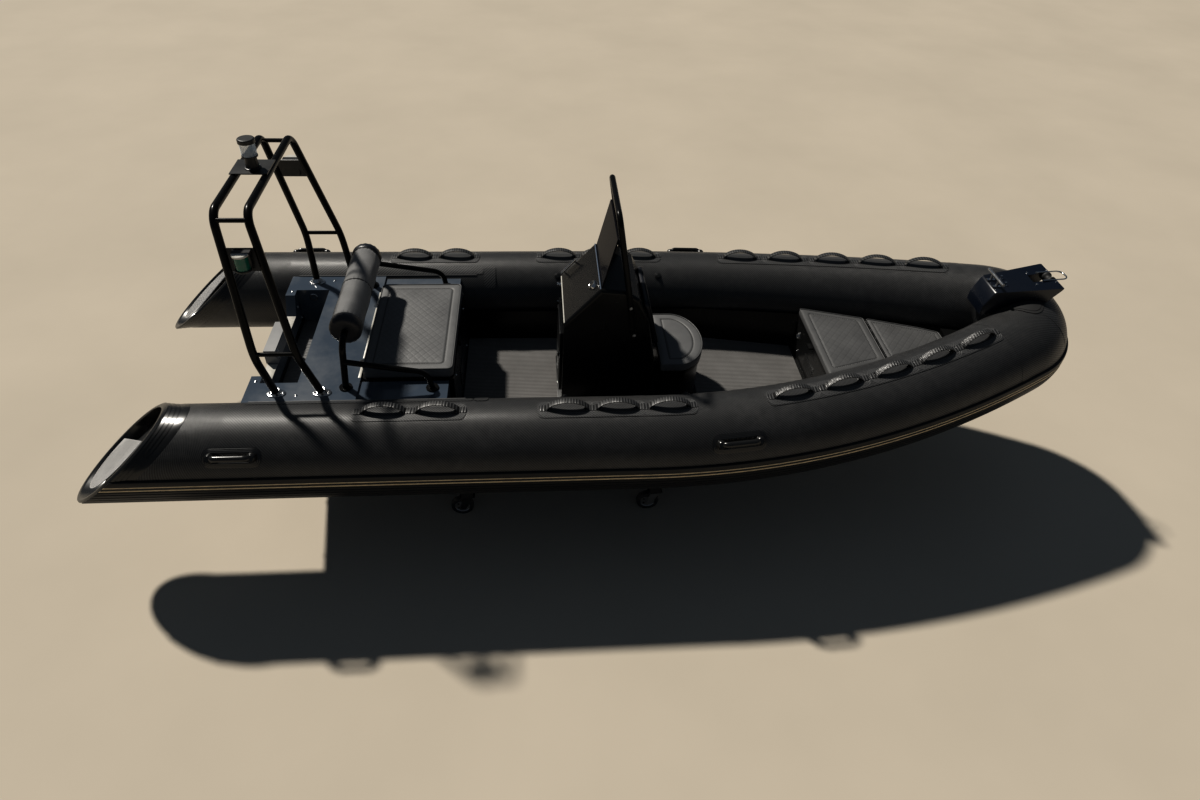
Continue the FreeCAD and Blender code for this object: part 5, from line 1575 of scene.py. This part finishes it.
pins = gathered(turned(prow["pinRows"], onStep(*place), prow["topAxis"], 20) for place in prow["pins"])
for side in (-1, 1):
    for x in prow["boltX"]:
        bolt = onStep(x, side * (prow["slotHalf"] + prow["boltOut"]), -0.0006)
        join(pins, domedBolt(bolt, prow["topAxis"], 0.0048))
piece("stepPins", pins, "polishedSteel")
piece("bowRoller", turned(mirrored(prow["rollerRows"]), spot(*prow["roller"]), (0, 1, 0), 56), "plainRubber",
      body="bow_roller", replaced="bow_roller", crease=40)
print("bow dressed")

# cradle: wheels with hubs and nuts, and bolts on its plates and posts
cradle = {
    "wheel": 0.062, "side": 0.505, "aft": -0.795, "fore": 0.238, "trail": 0.034, "hub": 0.0405,
    "wheelRows": [(0.0, 0.0058), (0.0170, 0.0058), (0.0170, 0.0150), (0.0120, 0.0165), (0.0110, 0.0380),
                  (0.0150, 0.0410), (0.0180, 0.0430), (0.0188, 0.0540), (0.0160, 0.0595), (0.0105, 0.0617),
                  (0.0, 0.0620)],
    "spokes": 5, "spokeRing": 0.026, "spokeOut": 0.0112,
    "spokeRows": [(0.0, 0.0), (0.0, 0.0062), (0.0016, 0.0060), (0.0024, 0.0045), (0.0024, 0.0)],
    "nutX": 0.031, "nutY": 0.027, "nutZ": 0.150,
    "nutRows": [(0.0, 0.0), (0.0, 0.0078), (0.0012, 0.0078), (0.0012, 0.0062), (0.0058, 0.0062),
                (0.0064, 0.0054), (0.0064, 0.0)],
    "postX": (-0.915, -0.2785, 0.358), "postY": 0.374, "postZ": (0.262, 0.322),
}


def casterWheel(hubSpot):
    rows = cradle["wheelRows"]
    rows = rows + [(-along, radius) for along, radius in reversed(rows[1:-1])] + rows[:1]
    wheel = turned(rows, hubSpot, (0, 1, 0), 64)
    for face in wheel.faces:
        middle = face.calc_center_median() - hubSpot
        face.material_index = 1 if math.hypot(middle.x, middle.z) < cradle["hub"] else 0
    for turn in range(cradle["spokes"]):
        x, z = polar(cradle["spokeRing"], math.tau * turn / cradle["spokes"])
        for side in (-1, 1):
            place = hubSpot + Vector((x, side * cradle["spokeOut"], z))
            join(wheel, paint(turned(cradle["spokeRows"], place, (0, side, 0), 16), 2))
    return wheel


nuts = bmesh.new()
for end in ("aft", "fore"):
    for side, sideName in ((-1, "starboard"), (1, "port")):
        name = end + "_" + sideName
        hubSpot = spot(cradle[end] - cradle["trail"], side * cradle["side"], cradle["wheel"])
        piece("wheel." + name, casterWheel(hubSpot), "plainRubber zincSteel darkRubber", body="wheel_" + name,
              replaced="caster_wheel_" + name, crease=40)
        for dx in (-cradle["nutX"], cradle["nutX"]):
            for dy in (-cradle["nutY"], cradle["nutY"]):
                place = spot(cradle[end] + dx, side * cradle["side"] + dy, cradle["nutZ"])
                join(nuts, turned(cradle["nutRows"], place, (0, 0, -1), 6))
for side in (-1, 1):
    for x in cradle["postX"]:
        for z in cradle["postZ"]:
            join(nuts, domedBolt(spot(x, side * cradle["postY"], z), (0, side, 0), 0.0052))
piece("cradleNuts", nuts, "zincSteel")

# a guard strip along the keel, and spray rails between keel and chine
bottom = {
    # x and keel height
    "keel": ((-1.800, 0.300), (-0.300, 0.300), (0.700, 0.312), (1.350, 0.384), (1.850, 0.540),
             (2.120, 0.690)),
    # x, keel height, chine half width and chine height
    "chine": ((-1.806, 0.300, 0.590, 0.486), (-0.300, 0.300, 0.590, 0.486), (0.700, 0.312, 0.555, 0.500),
              (1.350, 0.384, 0.420, 0.560)),
    "guard": [(-0.016, -0.0050), (0.016, -0.0050), (0.020, 0.004), (-0.020, 0.004)],
    "rail": [(-0.013, -0.011), (0.010, -0.004), (0.013, 0.006), (-0.013, 0.006)], "railShares": (0.30, 0.83),
}
guard = sweep(bottom["guard"], routeFrames([spot(x, 0, z) for x, z in bottom["keel"]]))
piece("keelGuard", guard, "zincSteel", crease=30)
rails = bmesh.new()
for share in bottom["railShares"]:
    route = [spot(x, -half * share, keel + (high - keel) * share) for x, keel, half, high in bottom["chine"]]
    join(rails, sweep(bottom["rail"], routeFrames(route)))
piece("sprayRails", bothSides(rails), "hullGelcoat", crease=30)
print("cradle dressed")

# finishes of the nodes that keep the frame's own shape; both forks are zinc and all others are replaced
nodeFinish = {
    "hull": "hullGelcoat", "sole_mat": "soleFoam", "aft_deck": "deckGloss", "transom_board": "boardPlate",
    "stern_seat_box": "lockerBlack", "stern_seat_lid": "consoleSatin", "backrest_frame": "blackTube",
    "arch_frame": "blackTube", "arch_plates": "blackPlastic", "beacon_body": "blackPlastic",
    "side_light_green": "greenLens", "side_light_red": "redLens", "console_body": "consoleSatin",
    "windscreen": "smokedScreen", "console_hoop": "blackTube", "console_door": "consoleSatin",
    "console_fittings": "polishedSteel", "fore_seat_base": "lockerBlack", "fore_seat_lid": "consoleSatin",
    "bow_locker": "lockerBlack", "bow_locker_lid": "consoleSatin", "deck_fittings": "polishedSteel",
    "cradle_bunks": "bunkCarpet", "cradle_frame": "cradlePaint",
}
for name, node in frame["nodes"].items():
    choice = nodeFinish.get(name, "zincSteel" if "fork" in name else "plainRubber")
    node.data.materials.clear()
    node.data.materials.append(finishes[choice].material)

# the studio: a plain pale floor, one broad key light from over the far quarter and a soft fill
studio = {
    "floor": (0.52, 0.465, 0.385, 1.0), "floorWorn": (0.48, 0.43, 0.355, 1.0), "floorHalf": 40.0,
    "sky": (0.62, 0.78, 1.0, 1.0), "fill": 0.115, "key": 4.75, "keySoft": 3.0, "keyShade": (1.0, 0.955, 0.88),
    "towards": (-0.588, 0.642, 1.0), "gamma": 0.80,
}
floorShape = bmesh.new()
bmesh.ops.create_grid(floorShape, x_segments=1, y_segments=1, size=studio["floorHalf"])
studioFloor = inScene("studioFloor", meshFrom(floorShape, "studioFloor"))
floorFinish = Finish("studioFloorPaint", Roughness=0.9, Specular_IOR_Level=0.2)
floorCloud = floorFinish.span(floorFinish.noise(0.7, 4.0), 0.3, 0.7, 0.0, 1.0)
floorFinish.colour(floorFinish.blendOf(floorCloud, studio["floor"], studio["floorWorn"]))
studioFloor.data.materials.append(floorFinish.material)

world = bpy.data.worlds.new("studioWorld")
world.use_nodes = True
world.node_tree.nodes["Background"].inputs["Color"].default_value = studio["sky"]
world.node_tree.nodes["Background"].inputs["Strength"].default_value = studio["fill"]
bpy.context.scene.world = world
keyData = bpy.data.lights.new("keyLight", "SUN")
keyData.energy, keyData.color = studio["key"], studio["keyShade"]
keyData.angle = math.radians(studio["keySoft"])
keyLight = inScene("keyLight", keyData)
keyLight.rotation_mode = "QUATERNION"
keyLight.rotation_quaternion = Vector(studio["towards"]).to_track_quat("Z", "Y")
bpy.context.scene.view_settings.view_transform = "Standard"
bpy.context.scene.view_settings.gamma = studio["gamma"]

# the photograph's viewpoint: place in metres, angles in degrees, lens in millimetres
view = {"place": (-0.394, -3.483, 3.392), "heading": 5.81, "pitch": 40.77, "roll": -2.771, "lens": 23.653,
        "sensor": 36.0, "far": 200.0}
heading, pitch, roll = (math.radians(view[key]) for key in ("heading", "pitch", "roll"))
ahead = Vector((math.sin(heading) * math.cos(pitch), math.cos(heading) * math.cos(pitch), -math.sin(pitch)))
levelRight = Vector((math.cos(heading), -math.sin(heading), 0.0))
levelUp = levelRight.cross(ahead)
right = levelRight * math.cos(roll) - levelUp * math.sin(roll)
up = levelRight * math.sin(roll) + levelUp * math.cos(roll)
lensData = bpy.data.cameras.new("viewCamera")
lensData.sensor_width, lensData.lens, lensData.clip_end = view["sensor"], view["lens"], view["far"]
viewCamera = inScene("viewCamera", lensData)
viewCamera.matrix_world = axesAt(spot(*view["place"]), right, up, -ahead)
bpy.context.scene.camera = viewCamera
print("studio and camera made")
